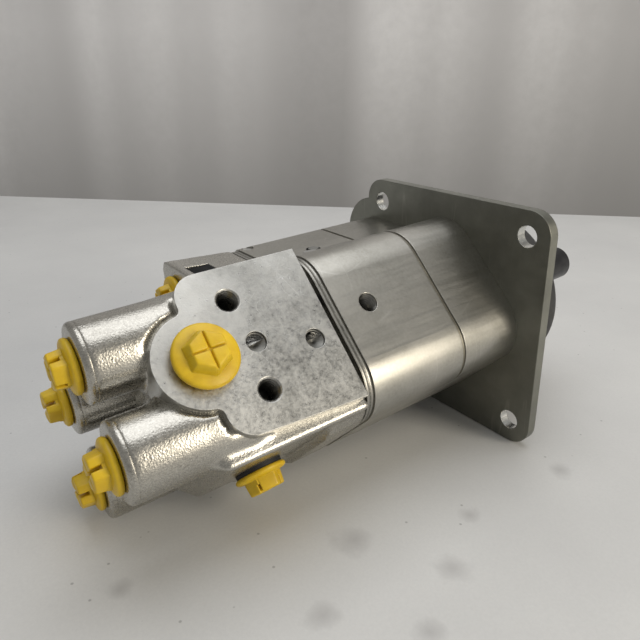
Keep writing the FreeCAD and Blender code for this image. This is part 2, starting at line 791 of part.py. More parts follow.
def ring_screws():
    screws = []
    for x, y in ring_screw_places():
        head = rod(ring_screw_head_radius, ring_top, ring_top + ring_screw_head_height, x, y)
        top_rim = [edge for edge in head.Edges
                   if edge.Closed and edge.BoundBox.ZMin > ring_top + edge_tolerance]
        head = head.makeFillet(ring_screw_head_round, top_rim)
        screws.append(fuse([head, rod(ring_screw_radius, ring_top - ring_screw_length, ring_top, x, y)]))
    return Part.makeCompound(screws)


def drilled_boot():
    holes = [rod(ring_screw_radius + tie_hole_clearance, plate_top, plate_top + boot_flange_thickness, x, y)
             for x, y in ring_screw_places()]
    return boot().cut(holes)


def all_nodes():
    nodes = {
        "mounting_plate": mounting_plate(),
        "head_body": head_body(),
        "head_seal": seal_plate(seal_top_bottom, head_bottom, chamber_radius, False),
        "spool_body": spool_body(),
        "port_seal": seal_plate(manifold_top, spool_body_bottom, bush_outer_radius, True),
        "port_manifold": port_manifold(),
        "drilling_plugs": drilling_plugs(),
        "tie_bolts": tie_bolts(),
        "plunger_bushes": plunger_bushes(),
        "wiper_seals": wiper_seals(),
        "pivot_base": pivot_base(),
        "cross_pin": cross_pin(),
        "cross_block": cross_block(),
        "stub_pins": stub_pins(),
        "lever_yoke": lever_yoke(),
        "cam_disc": cam_disc(),
        "lock_nut": lock_nut(),
        "lever_stub": lever_stub(),
        "handle_coupling": handle_coupling(),
        "boot": drilled_boot(),
        "boot_ring": boot_ring(),
        "ring_screws": ring_screws(),
        "tank_port_plug": tank_port_plug(),
        "pressure_port_plug": pressure_port_plug(),
        "pressure_port_washer": pressure_port_washer(),
        "lobe_port_plug": lobe_port_plug(),
    }
    for number, (x, y) in enumerate(work_ports, 1):
        nodes["work_port_plug_%d" % number] = work_port_plug(x, y)
    for name in stations:
        nodes["plunger_" + name] = plunger(name)
        nodes["spring_seat_" + name] = spring_seat(name)
        nodes["return_spring_" + name] = return_spring(name)
        nodes["metering_spring_" + name] = metering_spring(name)
        nodes["spool_" + name] = spool(name)
    return nodes


os.makedirs("parts", exist_ok=True)
for node, shape in all_nodes().items():
    shape.exportStep("parts/" + node + ".step")
    volume = round(shape.Volume / 1000, 2)
    print(node, len(shape.Solids), "solids, volume", volume, "cm3, valid", shape.isValid())
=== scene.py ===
# %% [markdown]
# # Joystick pilot valve
# A hydraulic joystick valve lies on a pale table, seen from its port end. The CAD frame gives every
# piece its place. This script dresses it: cast and machined metal, yellow transport plugs, a rubber
# boot, a table and soft light. Places are in metres, in the frame of the CAD model. Named sizes are
# in millimetres and are multiplied by MM where a mesh is made.

# %% Load the frame
import json
import math

import bmesh
import bpy
from mathutils import Matrix, Vector


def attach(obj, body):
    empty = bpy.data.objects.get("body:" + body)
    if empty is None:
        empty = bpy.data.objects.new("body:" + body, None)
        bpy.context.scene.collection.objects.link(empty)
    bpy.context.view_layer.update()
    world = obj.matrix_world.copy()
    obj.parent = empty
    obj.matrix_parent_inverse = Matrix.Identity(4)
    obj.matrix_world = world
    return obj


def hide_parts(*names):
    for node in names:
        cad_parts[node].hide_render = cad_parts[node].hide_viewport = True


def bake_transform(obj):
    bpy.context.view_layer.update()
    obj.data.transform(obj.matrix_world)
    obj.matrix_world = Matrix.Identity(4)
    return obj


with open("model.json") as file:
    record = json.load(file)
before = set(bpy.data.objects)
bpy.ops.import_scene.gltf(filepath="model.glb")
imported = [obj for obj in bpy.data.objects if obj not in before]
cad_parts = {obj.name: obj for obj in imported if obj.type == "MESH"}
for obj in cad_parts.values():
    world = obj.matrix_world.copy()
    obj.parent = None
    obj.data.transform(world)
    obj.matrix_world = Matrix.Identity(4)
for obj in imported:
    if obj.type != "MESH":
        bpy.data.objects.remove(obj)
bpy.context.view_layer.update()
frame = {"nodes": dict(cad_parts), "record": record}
MM = 0.001
scene = bpy.context.scene

# %% [markdown]
# The housings are turned 45 degrees to the mounting plate. Places on them are easier to give in their
# own axes: across the machined pad, out towards it, and up the lever. One matrix turns them back.

# %% Housing axes
BODY_TURN = Matrix.Rotation(math.radians(-135), 4, "Z")
PAD_NORMAL = (BODY_TURN @ Vector((0, 1, 0))).normalized()


def housing_place(across, out, height):
    """A point given in millimetres in the housings' own axes."""
    return BODY_TURN @ Vector((across * MM, out * MM, height * MM))


print("pad faces", [round(c, 3) for c in PAD_NORMAL])

# %% [markdown]
# The photograph was taken from close by, low over the table, with the valve on its side. The camera's
# place and axes were fitted to the plate's holes and the housings' edges, so the render lines up.

# %% Camera
CAMERA_PLACE = Vector((0.17959, -0.11342, -0.19588))
CAMERA_RIGHT = Vector((0.5873, 0.0452, 0.8081))
CAMERA_UP = Vector((-0.3116, -0.9089, 0.2773))
CAMERA_BACK = Vector((0.7471, -0.4146, -0.5197))
CAMERA_LENS = 33.61
SENSOR_WIDTH = 36.0

camera = bpy.data.objects.new("camera", bpy.data.cameras.new("camera"))
camera.data.lens = CAMERA_LENS
camera.data.sensor_width = SENSOR_WIDTH
axes = Matrix((CAMERA_RIGHT, CAMERA_UP, CAMERA_BACK)).transposed().to_4x4()
camera.matrix_world = Matrix.Translation(CAMERA_PLACE) @ axes
scene.collection.objects.link(camera)
scene.camera = camera
print("camera", [round(c, 3) for c in camera.location])

# %% [markdown]
# ## Shader groups
# The same effects show up in several finishes: a cloudy change of tone, a fine grain, long brush
# marks and scratches. Each is a node group with named inputs, built once and reused with its own
# values. A few helpers keep the wiring short: an input takes a number or another node's output.

# %% Node helpers


def set_input(tree, socket, value):
    """Links an input to another node's output, or sets its value."""
    if isinstance(value, bpy.types.NodeSocket):
        tree.links.new(value, socket)
    else:
        socket.default_value = value


def add_node(tree, kind, **values):
    """A node with its options and inputs set by name."""
    node = tree.nodes.new(kind)
    for name, value in values.items():
        if hasattr(node, name):
            setattr(node, name, value)
        else:
            set_input(tree, node.inputs[name.replace("_", " ")], value)
    return node


def object_point(tree, stretch=(1, 1, 1), turn=(0, 0, 0)):
    """Object coordinates, turned and stretched."""
    place = tree.nodes.new("ShaderNodeTexCoord")
    return add_node(tree, "ShaderNodeMapping", Vector=place.outputs["Object"], Rotation=turn,
                    Scale=stretch).outputs["Vector"]


def noise_value(tree, point=None, **values):
    """The value of a noise texture, on plain object coordinates where no point is given."""
    point = object_point(tree) if point is None else point
    return add_node(tree, "ShaderNodeTexNoise", Vector=point, **values).outputs["Fac"]


def ranged(tree, value, **limits):
    """Moves a value from one range, 0 to 1 if not given, to another."""
    return add_node(tree, "ShaderNodeMapRange", Value=value, **limits).outputs["Result"]


def calculate(tree, operation, *values, kind="ShaderNodeMath"):
    """The result of a maths node over numbers and outputs."""
    node = add_node(tree, kind, operation=operation)
    for socket, value in zip(node.inputs, values):
        set_input(tree, socket, value)
    return node.outputs["Value"]


def new_group(name, output, **inputs):
    """A shader group with number inputs (name=default) and one number output."""
    group = bpy.data.node_groups.new(name, "ShaderNodeTree")
    for label, default in inputs.items():
        socket = group.interface.new_socket(label, in_out="INPUT", socket_type="NodeSocketFloat")
        socket.default_value = default
    group.interface.new_socket(output, in_out="OUTPUT", socket_type="NodeSocketFloat")
    return group, group.nodes.new("NodeGroupInput").outputs, group.nodes.new("NodeGroupOutput").inputs[output]


# %% [markdown]
# Plating, rubber and paint are never one flat tone. Noise with its middle range spread out gives soft
# clouds between two values. The same group at a very fine scale gives specks and a sparkle.

# %% Cloudy tone


def make_cloud_group():
    group, inlet, outlet = new_group("cloudy tone", "Value", Scale=60.0, Low=0.0, High=1.0)
    noise = noise_value(group, Scale=inlet["Scale"], Detail=5.0, Roughness=0.62)
    spread = ranged(group, noise, From_Min=0.32, From_Max=0.68)
    group.links.new(ranged(group, spread, To_Min=inlet["Low"], To_Max=inlet["High"]), outlet)
    return group


CLOUDY = make_cloud_group()
print("group:", CLOUDY.name)

# %% [markdown]
# The housings are brushed along the lever, which draws their highlights out. Noise stretched in that
# direction is enough, and needs no picture of a brushed sheet.

# %% Brush marks


def make_brush_group():
    group, inlet, outlet = new_group("brush marks", "Value", Scale=900.0, Low=0.0, High=1.0)
    noise = noise_value(group, object_point(group, stretch=(1, 1, 0.06)), Scale=inlet["Scale"], Detail=3.0,
                        Roughness=0.6)
    group.links.new(ranged(group, noise, To_Min=inlet["Low"], To_Max=inlet["High"]), outlet)
    return group


BRUSH = make_brush_group()
print("group:", BRUSH.name)

# %% [markdown]
# Handling leaves a few thin scratches. Where stretched noise crosses its middle value it does so along
# thin lines, so those crossings in three directions make scratches, and a coarse noise keeps them to
# patches.

# %% Scratches
SCRATCH_TURNS = ((0.3, 0.2, 0.5), (1.1, 0.4, 2.0), (2.2, 1.3, 0.9))


def make_scratch_group():
    group, inlet, outlet = new_group("scratches", "Mask", Scale=70.0, Amount=1.0)
    total = None
    for turn in SCRATCH_TURNS:
        noise = noise_value(group, object_point(group, (1, 0.05, 1), turn), Scale=inlet["Scale"], Detail=0.0)
        off_middle = calculate(group, "ABSOLUTE", calculate(group, "SUBTRACT", noise, 0.5))
        thin = ranged(group, off_middle, From_Max=0.006, To_Min=1.0, To_Max=0.0)
        total = thin if total is None else calculate(group, "MAXIMUM", total, thin)
    patches = noise_value(group, Scale=90.0, Detail=1.0)
    masked = calculate(group, "MULTIPLY", total, ranged(group, patches, From_Min=0.48, From_Max=0.62))
    group.links.new(calculate(group, "MULTIPLY", masked, inlet["Amount"]), outlet)
    return group


SCRATCHES = make_scratch_group()
print("group:", SCRATCHES.name)

# %% [markdown]
# A shot blasted casting sparkles because it is full of tiny dents. Smooth cells give the dents, and a
# coarser noise under them keeps the surface from looking printed.

# %% Fine grain


def make_grain_group():
    group, inlet, outlet = new_group("fine grain", "Height", Scale=1500.0)
    cells = add_node(group, "ShaderNodeTexVoronoi", feature="SMOOTH_F1", Smoothness=0.6,
                     Vector=object_point(group), Scale=inlet["Scale"])
    coarse = noise_value(group, Scale=420.0, Detail=2.0)
    group.links.new(calculate(group, "ADD", cells.outputs["Distance"], coarse), outlet)
    return group


GRAIN = make_grain_group()
print("group:", GRAIN.name)

# %% [markdown]
# ## Finishes
# A metal reads as real through its reflections, so each metal keeps its full metallic value and gets
# its character from changes in tone and roughness, and from a small bump. A bevel node rounds the
# edges a little where light catches them, without any change to the CAD mesh.

# %% Material helpers


def use_group(tree, group, output, **values):
    node = tree.nodes.new("ShaderNodeGroup")
    node.node_tree = group
    for name, value in values.items():
        node.inputs[name].default_value = value
    return node.outputs[output]


def cloudy(tree, scale, low=0.0, high=1.0):
    return use_group(tree, CLOUDY, "Value", Scale=scale, Low=low, High=high)


def mix_colours(tree, factor, colour_a, colour_b):
    """Mixes two colours, each given as numbers or as an output, by a factor."""
    mix = tree.nodes.new("ShaderNodeMix")
    mix.data_type = "RGBA"
    tree.links.new(factor, mix.inputs["Factor"])
    for socket, colour in ((mix.inputs[6], colour_a), (mix.inputs[7], colour_b)):
        set_input(tree, socket, (*colour, 1) if isinstance(colour, tuple) else colour)
    return mix.outputs[2]


def scratched(tree, colour, scale, amount, bare):
    """A colour with scratches that show the bare metal."""
    return mix_colours(tree, use_group(tree, SCRATCHES, "Mask", Scale=scale, Amount=amount), colour, bare)


def new_material(name, metallic, roughness, edge_radius=0.0):
    """A material with a Principled shader, and a bevel node for soft edges where asked."""
    material = bpy.data.materials.new(name)
    material.use_nodes = True
    tree = material.node_tree
    shader = tree.nodes["Principled BSDF"]
    shader.inputs["Metallic"].default_value = metallic
    shader.inputs["Roughness"].default_value = roughness
    if edge_radius:
        soft_edge = add_node(tree, "ShaderNodeBevel", samples=6, Radius=edge_radius * MM)
        tree.links.new(soft_edge.outputs["Normal"], shader.inputs["Normal"])
    return material, tree, shader


def dress(tree, shader, colour, roughness, height, strength, distance):
    """Wires a colour, a roughness and a bump, which goes on top of the soft edges."""
    tree.links.new(colour, shader.inputs["Base Color"])
    tree.links.new(roughness, shader.inputs["Roughness"])
    bump = add_node(tree, "ShaderNodeBump", Height=height, Strength=strength, Distance=distance * MM)
    if shader.inputs["Normal"].links:
        tree.links.new(shader.inputs["Normal"].links[0].from_socket, bump.inputs["Normal"])
    tree.links.new(bump.outputs["Normal"], shader.inputs["Normal"])


# %% [markdown]
# The two housings and the head are brushed steel under a champagne grey plating, with cloudy blotches.
# Brush marks drive both roughness and bump, so the highlights break up along the lever.

# %% Satin housing steel


def make_housing_steel():
    material, tree, shader = new_material("housing steel", 1.0, 0.4, 0.5)
    colour = mix_colours(tree, cloudy(tree, 38.0), (0.31, 0.30, 0.265), (0.44, 0.425, 0.385))
    colour = mix_colours(tree, cloudy(tree, 900.0, high=0.35), colour, (0.52, 0.51, 0.48))
    colour = scratched(tree, colour, 35.0, 0.35, (0.60, 0.59, 0.55))
    roughness = use_group(tree, BRUSH, "Value", Scale=700.0, Low=0.24, High=0.44)
    dress(tree, shader, colour, roughness, use_group(tree, BRUSH, "Value", Scale=1400.0), 0.25, 0.03)
    return material


HOUSING_STEEL = make_housing_steel()
print("material:", HOUSING_STEEL.name)

# %% [markdown]
# The manifold is plated iron with a blasted skin. Fine clouds in the colour and roughness make single
# grains flash, and the grain group gives the dents.

# %% Shot blasted casting


def make_casting():
    material, tree, shader = new_material("blasted casting", 1.0, 0.35, 0.6)
    colour = mix_colours(tree, cloudy(tree, 60.0), (0.31, 0.295, 0.265), (0.42, 0.405, 0.37))
    colour = mix_colours(tree, cloudy(tree, 1900.0, high=0.6), colour, (0.66, 0.64, 0.58))
    grain = use_group(tree, GRAIN, "Height", Scale=1700.0)
    dress(tree, shader, colour, cloudy(tree, 1500.0, 0.20, 0.38), grain, 0.5, 0.09)
    return material


CASTING = make_casting()
print("material:", CASTING.name)

# %% [markdown]
# The milled pad is cool grey and finely speckled, with short scratches and soft stains. Its low end,
# round the large port, gets a painted reflection: the colour turns paler with the place on the lever's
# axis.

# %% Machined pad
PAINTED_REFLECTION_END = (-110 * MM, -128 * MM)


def make_machined_face():
    material, tree, shader = new_material("machined face", 1.0, 0.4, 0.25)
    colour = mix_colours(tree, cloudy(tree, 85.0), (0.19, 0.187, 0.172), (0.46, 0.455, 0.43))
    colour = mix_colours(tree, cloudy(tree, 700.0, high=0.5), colour, (0.52, 0.515, 0.49))
    # Painted reflection: the colour turns paler towards the pad's low end, round the large port.
    height = add_node(tree, "ShaderNodeSeparateXYZ", Vector=object_point(tree)).outputs["Z"]
    painted_reflection = ranged(tree, height, From_Min=PAINTED_REFLECTION_END[0], From_Max=PAINTED_REFLECTION_END[1], To_Max=0.5)
    colour = mix_colours(tree, painted_reflection, colour, (0.72, 0.71, 0.67))
    colour = scratched(tree, colour, 110.0, 0.35, (0.68, 0.68, 0.65))
    dress(tree, shader, colour, cloudy(tree, 700.0, 0.27, 0.50), cloudy(tree, 1500.0), 0.35, 0.05)
    return material


MACHINED_FACE = make_machined_face()
print("material:", MACHINED_FACE.name)

# %% [markdown]
# Pins, screws, springs and the plate are all plain metals that differ in tone and polish, so one
# function makes them. The seal plate is the exception: fine ribs run round its edge, and a wave
# texture across the lever's axis draws and raises them.

# %% Plate, seal plate and small steel parts


def make_plain_metal(name, dark, light, roughness, edge_radius=0.3, cloud_scale=90.0, metallic=1.0):
    """A metal between two tones with slightly uneven roughness and faint wear."""
    material, tree, shader = new_material(name, metallic, roughness, edge_radius)
    worn = tuple(min(1.0, channel * 1.5) for channel in light)
    colour = scratched(tree, mix_colours(tree, cloudy(tree, cloud_scale), dark, light), 80.0, 0.3, worn)
    polish = cloudy(tree, 200.0, roughness - 0.07, roughness + 0.09)
    dress(tree, shader, colour, polish, cloudy(tree, 1100.0), 0.2, 0.03)
    return material


def make_seal_plate_steel():
    """Ribs round the edge, with a fine grain across them."""
    material, tree, shader = new_material("ribbed seal plate", 1.0, 0.35)
    ribs = add_node(tree, "ShaderNodeTexWave", wave_type="BANDS", bands_direction="Z", Scale=185.0,
                    Vector=object_point(tree)).outputs["Fac"]
    colour = mix_colours(tree, ribs, (0.13, 0.125, 0.11), (0.40, 0.39, 0.36))
    beads = noise_value(tree, object_point(tree, stretch=(1, 1, 0.15)), Scale=1300.0, Detail=1.0)
    grain = ranged(tree, beads, From_Min=0.4, From_Max=0.6, To_Max=0.55)
    colour = mix_colours(tree, grain, colour, (0.30, 0.29, 0.26))
    dress(tree, shader, colour, cloudy(tree, 200.0, 0.28, 0.42), ribs, 0.6, 0.2)
    return material


PLATE_ZINC = make_plain_metal("olive zinc plate", (0.19, 0.19, 0.165), (0.27, 0.27, 0.235), 0.40, 0.5, 30.0)
HOLE_ZINC = make_plain_metal("bright zinc", (0.60, 0.60, 0.57), (0.74, 0.74, 0.71), 0.22)
HEAD_SEAL = make_plain_metal("bronzed seal", (0.20, 0.185, 0.15), (0.32, 0.30, 0.25), 0.38, 0.2)
SEAL_PLATE_STEEL = make_seal_plate_steel()
ZINC_STEEL = make_plain_metal("zinc steel", (0.42, 0.42, 0.41), (0.60, 0.60, 0.58), 0.35)
JOINT_STEEL = make_plain_metal("machined joint steel", (0.30, 0.30, 0.31), (0.45, 0.45, 0.45), 0.35)
GROUND_STEEL = make_plain_metal("ground steel", (0.62, 0.62, 0.63), (0.74, 0.74, 0.74), 0.18)
SPRING_STEEL = make_plain_metal("spring steel", (0.28, 0.28, 0.30), (0.40, 0.40, 0.41), 0.32)
BRONZE = make_plain_metal("bronze", (0.48, 0.32, 0.15), (0.62, 0.44, 0.22), 0.32)
# Painted shade: this darker steel lines the dimples' cones so that they read as shaded; the side block's pin
# uses it too.
PIN_STEEL_AND_DIMPLE_SHADE = make_plain_metal("pin steel and painted dimple shade", (0.20, 0.20, 0.19), (0.36, 0.355, 0.33), 0.55)
# Painted shade: a dark steel for the thread sleeves, standing for the shade inside the holes.
BORE_SHADE_STEEL = make_plain_metal("painted bore shade", (0.10, 0.10, 0.09), (0.24, 0.235, 0.22), 0.30)
BLACK_STEEL = make_plain_metal("black oxide steel", (0.025, 0.025, 0.028), (0.06, 0.06, 0.062), 0.35,
                               metallic=0.6)
print("materials so far:", len(bpy.data.materials))

# %% [markdown]
# The plugs are soft yellow polyethylene, slightly waxy, so a little light scatters under their skin.
# Boot and seals are black rubber with a dry, slightly dusty bloom. The near-black in the lobe's pocket
# and round the side block's pin is painted shade: it only has to swallow light.

# %% Yellow plastic, black rubber and painted shade


def make_plug_plastic():
    material, tree, shader = new_material("yellow plug plastic", 0.0, 0.38, 0.35)
    colour = mix_colours(tree, cloudy(tree, 150.0), (0.62, 0.40, 0.008), (0.76, 0.52, 0.016))
    shader.inputs["Subsurface Weight"].default_value = 0.12
    shader.inputs["Subsurface Radius"].default_value = (0.003, 0.002, 0.0005)
    shader.inputs["Subsurface Scale"].default_value = 1.0
    dress(tree, shader, colour, cloudy(tree, 400.0, 0.36, 0.52), cloudy(tree, 500.0), 0.25, 0.05)
    return material


def make_rubber_and_shade(name, tone, roughness):
    material, tree, shader = new_material(name, 0.0, roughness)
    colour = mix_colours(tree, cloudy(tree, 70.0), (tone,) * 3, (tone * 1.9,) * 3)
    polish = cloudy(tree, 260.0, roughness - 0.1, roughness + 0.1)
    dress(tree, shader, colour, polish, cloudy(tree, 1300.0), 0.35, 0.05)
    return material


PLUG_PLASTIC = make_plug_plastic()
BOOT_RUBBER = make_rubber_and_shade("boot rubber", 0.018, 0.55)
SEAL_RUBBER = make_rubber_and_shade("seal rubber", 0.006, 0.6)
# Painted shade: a near-black that stands for the shade in the lobe's pocket and round the side block's pin.
PAINTED_RECESS_SHADE = make_rubber_and_shade("painted recess shade", 0.001, 0.95)
print("materials so far:", len(bpy.data.materials))

# %% [markdown]
# Every CAD node that stays in view gets one of these finishes, by the material slot that the record
# names for it.

# %% Give the CAD nodes their finishes
FINISH_OF_SLOT = {
    "plate": PLATE_ZINC, "housing": HOUSING_STEEL, "casting": CASTING, "seal_plate": SEAL_PLATE_STEEL,
    "gasket": HEAD_SEAL, "fastener_steel": ZINC_STEEL, "fastener_black": BLACK_STEEL, "bronze": BRONZE,
    "joint_steel": JOINT_STEEL, "ground_steel": GROUND_STEEL, "spring_steel": SPRING_STEEL,
    "lever_black": BLACK_STEEL, "ring_black": BLACK_STEEL, "rubber_black": SEAL_RUBBER,
    "plug_yellow": PLUG_PLASTIC,
}
for part in frame["record"]["subparts"]:
    node = frame["nodes"][part["node"]]
    node.data.materials.clear()
    node.data.materials.append(FINISH_OF_SLOT[part["material_slot"]])
print("dressed", len(frame["nodes"]), "CAD nodes")

# %% [markdown]
# ## Mesh helpers
# New pieces start from bmesh's own shapes: a rod, a rounded box, or an outline spun about the lever's
# direction. `finish_piece` turns the bmesh into an object that rides on a body, and `carve` cuts one
# solid out of another.

# %% Mesh helpers


def rod_along(mesh, start, direction, length, radius, end_radius=None, segments=64):
    """A capped cylinder or cone from a start point along a direction, with its sizes in millimetres."""
    turn = Vector((0, 0, 1)).rotation_difference(Vector(direction)).to_matrix().to_4x4()
    place = Matrix.Translation(start) @ turn @ Matrix.Translation((0, 0, length * MM / 2))
    bmesh.ops.create_cone(mesh, cap_ends=True, cap_tris=False, segments=segments, radius1=radius * MM,
                          radius2=(radius if end_radius is None else end_radius) * MM, depth=length * MM,
                          matrix=place)


def rounded_box(mesh, low, high, radius, low_inset=(0, 0), high_radius=None):
    """A box between two corners in millimetres. Its upright edges are rounded, those on its +Y side with
    a radius of their own where one is given. Its lower end can be drawn in, or spread where negative."""
    low, high = Vector(low) * MM, Vector(high) * MM
    middle = (low + high) / 2
    verts = bmesh.ops.create_cube(mesh, size=1.0)["verts"]
    bmesh.ops.scale(mesh, vec=high - low, verts=verts)
    bmesh.ops.translate(mesh, vec=middle, verts=verts)
    for vert in verts:
        if vert.co.z < middle.z:
            vert.co.x -= low_inset[0] * MM * math.copysign(1, vert.co.x - middle.x)
            vert.co.y -= low_inset[1] * MM * math.copysign(1, vert.co.y - middle.y)
    upright = {edge for vert in verts for edge in vert.link_edges
               if abs(edge.verts[0].co.z - edge.verts[1].co.z) > (high.z - low.z) / 2}
    far = {edge for edge in upright if edge.verts[0].co.y > middle.y} if high_radius else set()
    for edges, rounding in ((far, high_radius), (upright - far, radius)):
        if edges and rounding:
            bmesh.ops.bevel(mesh, geom=list(edges), offset=rounding * MM, segments=6, profile=0.5,
                            affect="EDGES", material=-1)


def spin_outline(mesh, outline, steps, closed=True, merge=0.001):
    """Spins an outline of (radius, height) pairs in millimetres about the Z axis."""
    verts = [mesh.verts.new(Vector((radius, 0, height)) * MM) for radius, height in outline]
    following = verts[1:] + (verts[:1] if closed else [])
    edges = [mesh.edges.new(pair) for pair in zip(verts, following)]
    bmesh.ops.spin(mesh, geom=verts + edges, cent=(0, 0, 0), axis=(0, 0, 1), dvec=(0, 0, 0),
                   angle=2 * math.pi, steps=steps, use_merge=True)
    bmesh.ops.remove_doubles(mesh, verts=mesh.verts, dist=merge * MM)


def finish_piece(mesh, name, material=None, body="housing", replaces=(), smooth_angle=40.0,
                 keep_normals=False):
    """Makes an object of a bmesh and has it ride on a body. An angle gives it smooth shading."""
    if not keep_normals:
        bmesh.ops.recalc_face_normals(mesh, faces=mesh.faces)
    data = bpy.data.meshes.new(name)
    mesh.to_mesh(data)
    mesh.free()
    if smooth_angle:
        data.shade_smooth()
        data.set_sharp_from_angle(angle=math.radians(smooth_angle))
    if material:
        data.materials.append(material)
    piece = bpy.data.objects.new(name, data)
    scene.collection.objects.link(piece)
    if body:
        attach(piece, body)
    if replaces:
        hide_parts(*replaces)
    return piece


def apply_modifiers(piece):
    """Bakes the modifiers of a piece into its mesh."""
    bpy.context.view_layer.update()
    graph = bpy.context.evaluated_depsgraph_get()
    shaped = bpy.data.meshes.new_from_object(piece.evaluated_get(graph))
    piece.modifiers.clear()
    old = piece.data
    shaped.name = piece.name
    piece.data = shaped
    bpy.data.meshes.remove(old)
    return piece


def carve(piece, cutter):
    """Cuts a closed mesh out of a piece. The cutter is used up."""
    tool = piece.modifiers.new("carve", "BOOLEAN")
    tool.operation = "DIFFERENCE"
    tool.solver = "EXACT"
    tool.object = cutter
    apply_modifiers(piece)
    bpy.data.objects.remove(cutter)


# %% [markdown]
# ## Cast manifold
# The real manifold is one iron casting: a block, a side lobe and four round port bosses that flow into
# each other. A fillet on every seam of such a union is hard to model edge by edge. Joining the rough
# solids, covering them with one voxel skin and smoothing that skin gives the same soft joins as the mould.

# %% Casting sizes, in millimetres in the housings' own axes
MANIFOLD_TOP = -81.4
COLLAR_HALF = 35
COLLAR_BOTTOM = -96.9
COLLAR_CORNER = 18
LEDGE = 29.5
LEDGE_CORNER = 0.4
BLOCK_SIDE = 31.8
BLOCK_BACK = -30
BLOCK_CORNER = 6
BLOCK_BOTTOM = -128.4
TAPER_TOP = -119.4
SHOULDER_BACK = -20
SHOULDER_END = -136.5
SHOULDER_TIP = -145.0
WEB_HALVES = (16.5, 22.5)
LOBE_BOTTOM = -112.2
LOBE_REACH = 55.5
LOBE_HALF = 33.0
LOBE_SPREAD = 2.4
LOBE_CORNER = 5
BOSS_END = -165.3
BOSS_ROOT = -140
BOSS_RADIUS = 13.5
ROOT_RADIUS = 14.2
BOSS_LENGTH = 44
ROOT_LENGTH = 16
CAST_SHORT = 1.8
WORK_PORTS = ((17.7, 22.5), (-15.3, 22.5), (21.1, -22.5), (-11.9, -22.5))
PORT_SHIFT = 2.4
TANK_PORT_HEIGHT = -132.0
TANK_ROOT_RADIUS = 16.2
PRESSURE_PORT_HEIGHT = -117.0
PRESSURE_REACH = 30.63
PRESSURE_BOSS_LENGTH = 30
PRESSURE_BOSS_RADIUS = 12
VOXEL = 0.85
BLOCKS = (
    ((-BLOCK_SIDE, BLOCK_BACK, TAPER_TOP), (BLOCK_SIDE, LEDGE, MANIFOLD_TOP), (0, 0)),
    ((-BLOCK_SIDE, BLOCK_BACK, BLOCK_BOTTOM), (BLOCK_SIDE, LEDGE, TAPER_TOP), (8, 3)),
    ((-BLOCK_SIDE, SHOULDER_BACK, SHOULDER_END), (0, LEDGE, TAPER_TOP + 1), (0, 0)),
    ((-BLOCK_SIDE, SHOULDER_BACK, SHOULDER_TIP), (0, LEDGE, SHOULDER_END), (6.5, 4)),
)
print("casting height", round(MANIFOLD_TOP - BOSS_END, 1), "mm")

# %% [markdown]
# The pad's outline is needed three times: for the pad itself, for the channel round it, and for the
# pocket under it. So one helper makes it as a plate of any thickness, grown or shrunk by a margin.

# %% Pad outline
TANK_BOSS_RADIUS = 16.4
PAD_FACE = 36.0
PAD_TOP = MANIFOLD_TOP - 2.6
PAD_END = -133.0
PAD_SIDES = (31.2, -28.6, -26.2)
PAD_CORNER = 9.0
PAD_NECK = 2.5


def arc(centre, radius, start, end, steps):
    """Points of an arc, with its angles in degrees."""
    angles = [math.radians(start + (end - start) * step / steps) for step in range(steps + 1)]
    return [(centre[0] + radius * math.cos(angle), centre[1] + radius * math.sin(angle)) for angle in angles]


def pad_outline(margin):
    """The pad's outline as (across, height) points, grown by a margin."""
    high_side, low_side, low_side_end = PAD_SIDES
    end, corner = PAD_END - margin, PAD_CORNER + margin
    boss, neck = TANK_BOSS_RADIUS + margin, PAD_NECK - margin
    neck_drop = TANK_PORT_HEIGHT - (end - neck)
    neck_across = math.sqrt((boss + neck) ** 2 - neck_drop ** 2)
    lean = math.degrees(math.atan2(neck_drop, neck_across))
    points = [(low_side - margin, PAD_TOP + margin), (high_side + margin, PAD_TOP + margin)]
    points += arc((high_side + margin - corner, end + corner), corner, 0, -90, 12)
    points += arc((PORT_SHIFT + neck_across, end - neck), neck, 90, 180 - lean, 6)
    points += arc((PORT_SHIFT, TANK_PORT_HEIGHT), boss, -lean, lean - 180, 48)
    points += arc((PORT_SHIFT - neck_across, end - neck), neck, lean, 90, 6)
    points += arc((low_side_end - margin + corner, end + corner), corner, -90, -180, 12)
    return points


def pad_plate(name, margin, low, high):
    """The pad with its round port boss, as one closed plate between two distances out."""
    mesh = bmesh.new()
    face = mesh.faces.new([mesh.verts.new(Vector((across, low, height)) * MM)
                           for across, height in pad_outline(margin)])
    grown = bmesh.ops.extrude_face_region(mesh, geom=[face])["geom"]
    raised = [item for item in grown if isinstance(item, bmesh.types.BMVert)]
    bmesh.ops.translate(mesh, vec=(0, (high - low) * MM, 0), verts=raised)
    bmesh.ops.remove_doubles(mesh, verts=mesh.verts, dist=0.01 * MM)
    bmesh.ops.transform(mesh, matrix=BODY_TURN, verts=mesh.verts)
    return finish_piece(mesh, name, body=None)


print("pad outline:", len(pad_outline(0.0)), "points")

# %% [markdown]
# ### One skin over rough solids
# The block, lobe and bosses start as simple overlapping solids. A voxel remesh makes one closed skin of
# them. The channel round the pad is cut out of that skin, and a second remesh with a few smoothing steps
# gives every seam the soft fillet of the mould.

# %% Casting skin
GROOVE_WIDTH = 1.6
GROOVE_DEPTH = 2.4
CUT_CLEAR = 12


def sliced(mesh, place, normal, close=True):
    """Cuts a bmesh with a plane, drops what the normal points at, and closes the cut where asked."""
    cut = bmesh.ops.bisect_plane(mesh, geom=mesh.verts[:] + mesh.edges[:] + mesh.faces[:], plane_co=place,
                                 plane_no=normal, clear_outer=True)
    if close:
        rim = [item for item in cut["geom_cut"] if isinstance(item, bmesh.types.BMEdge)]
        bmesh.ops.contextual_create(mesh, geom=rim)


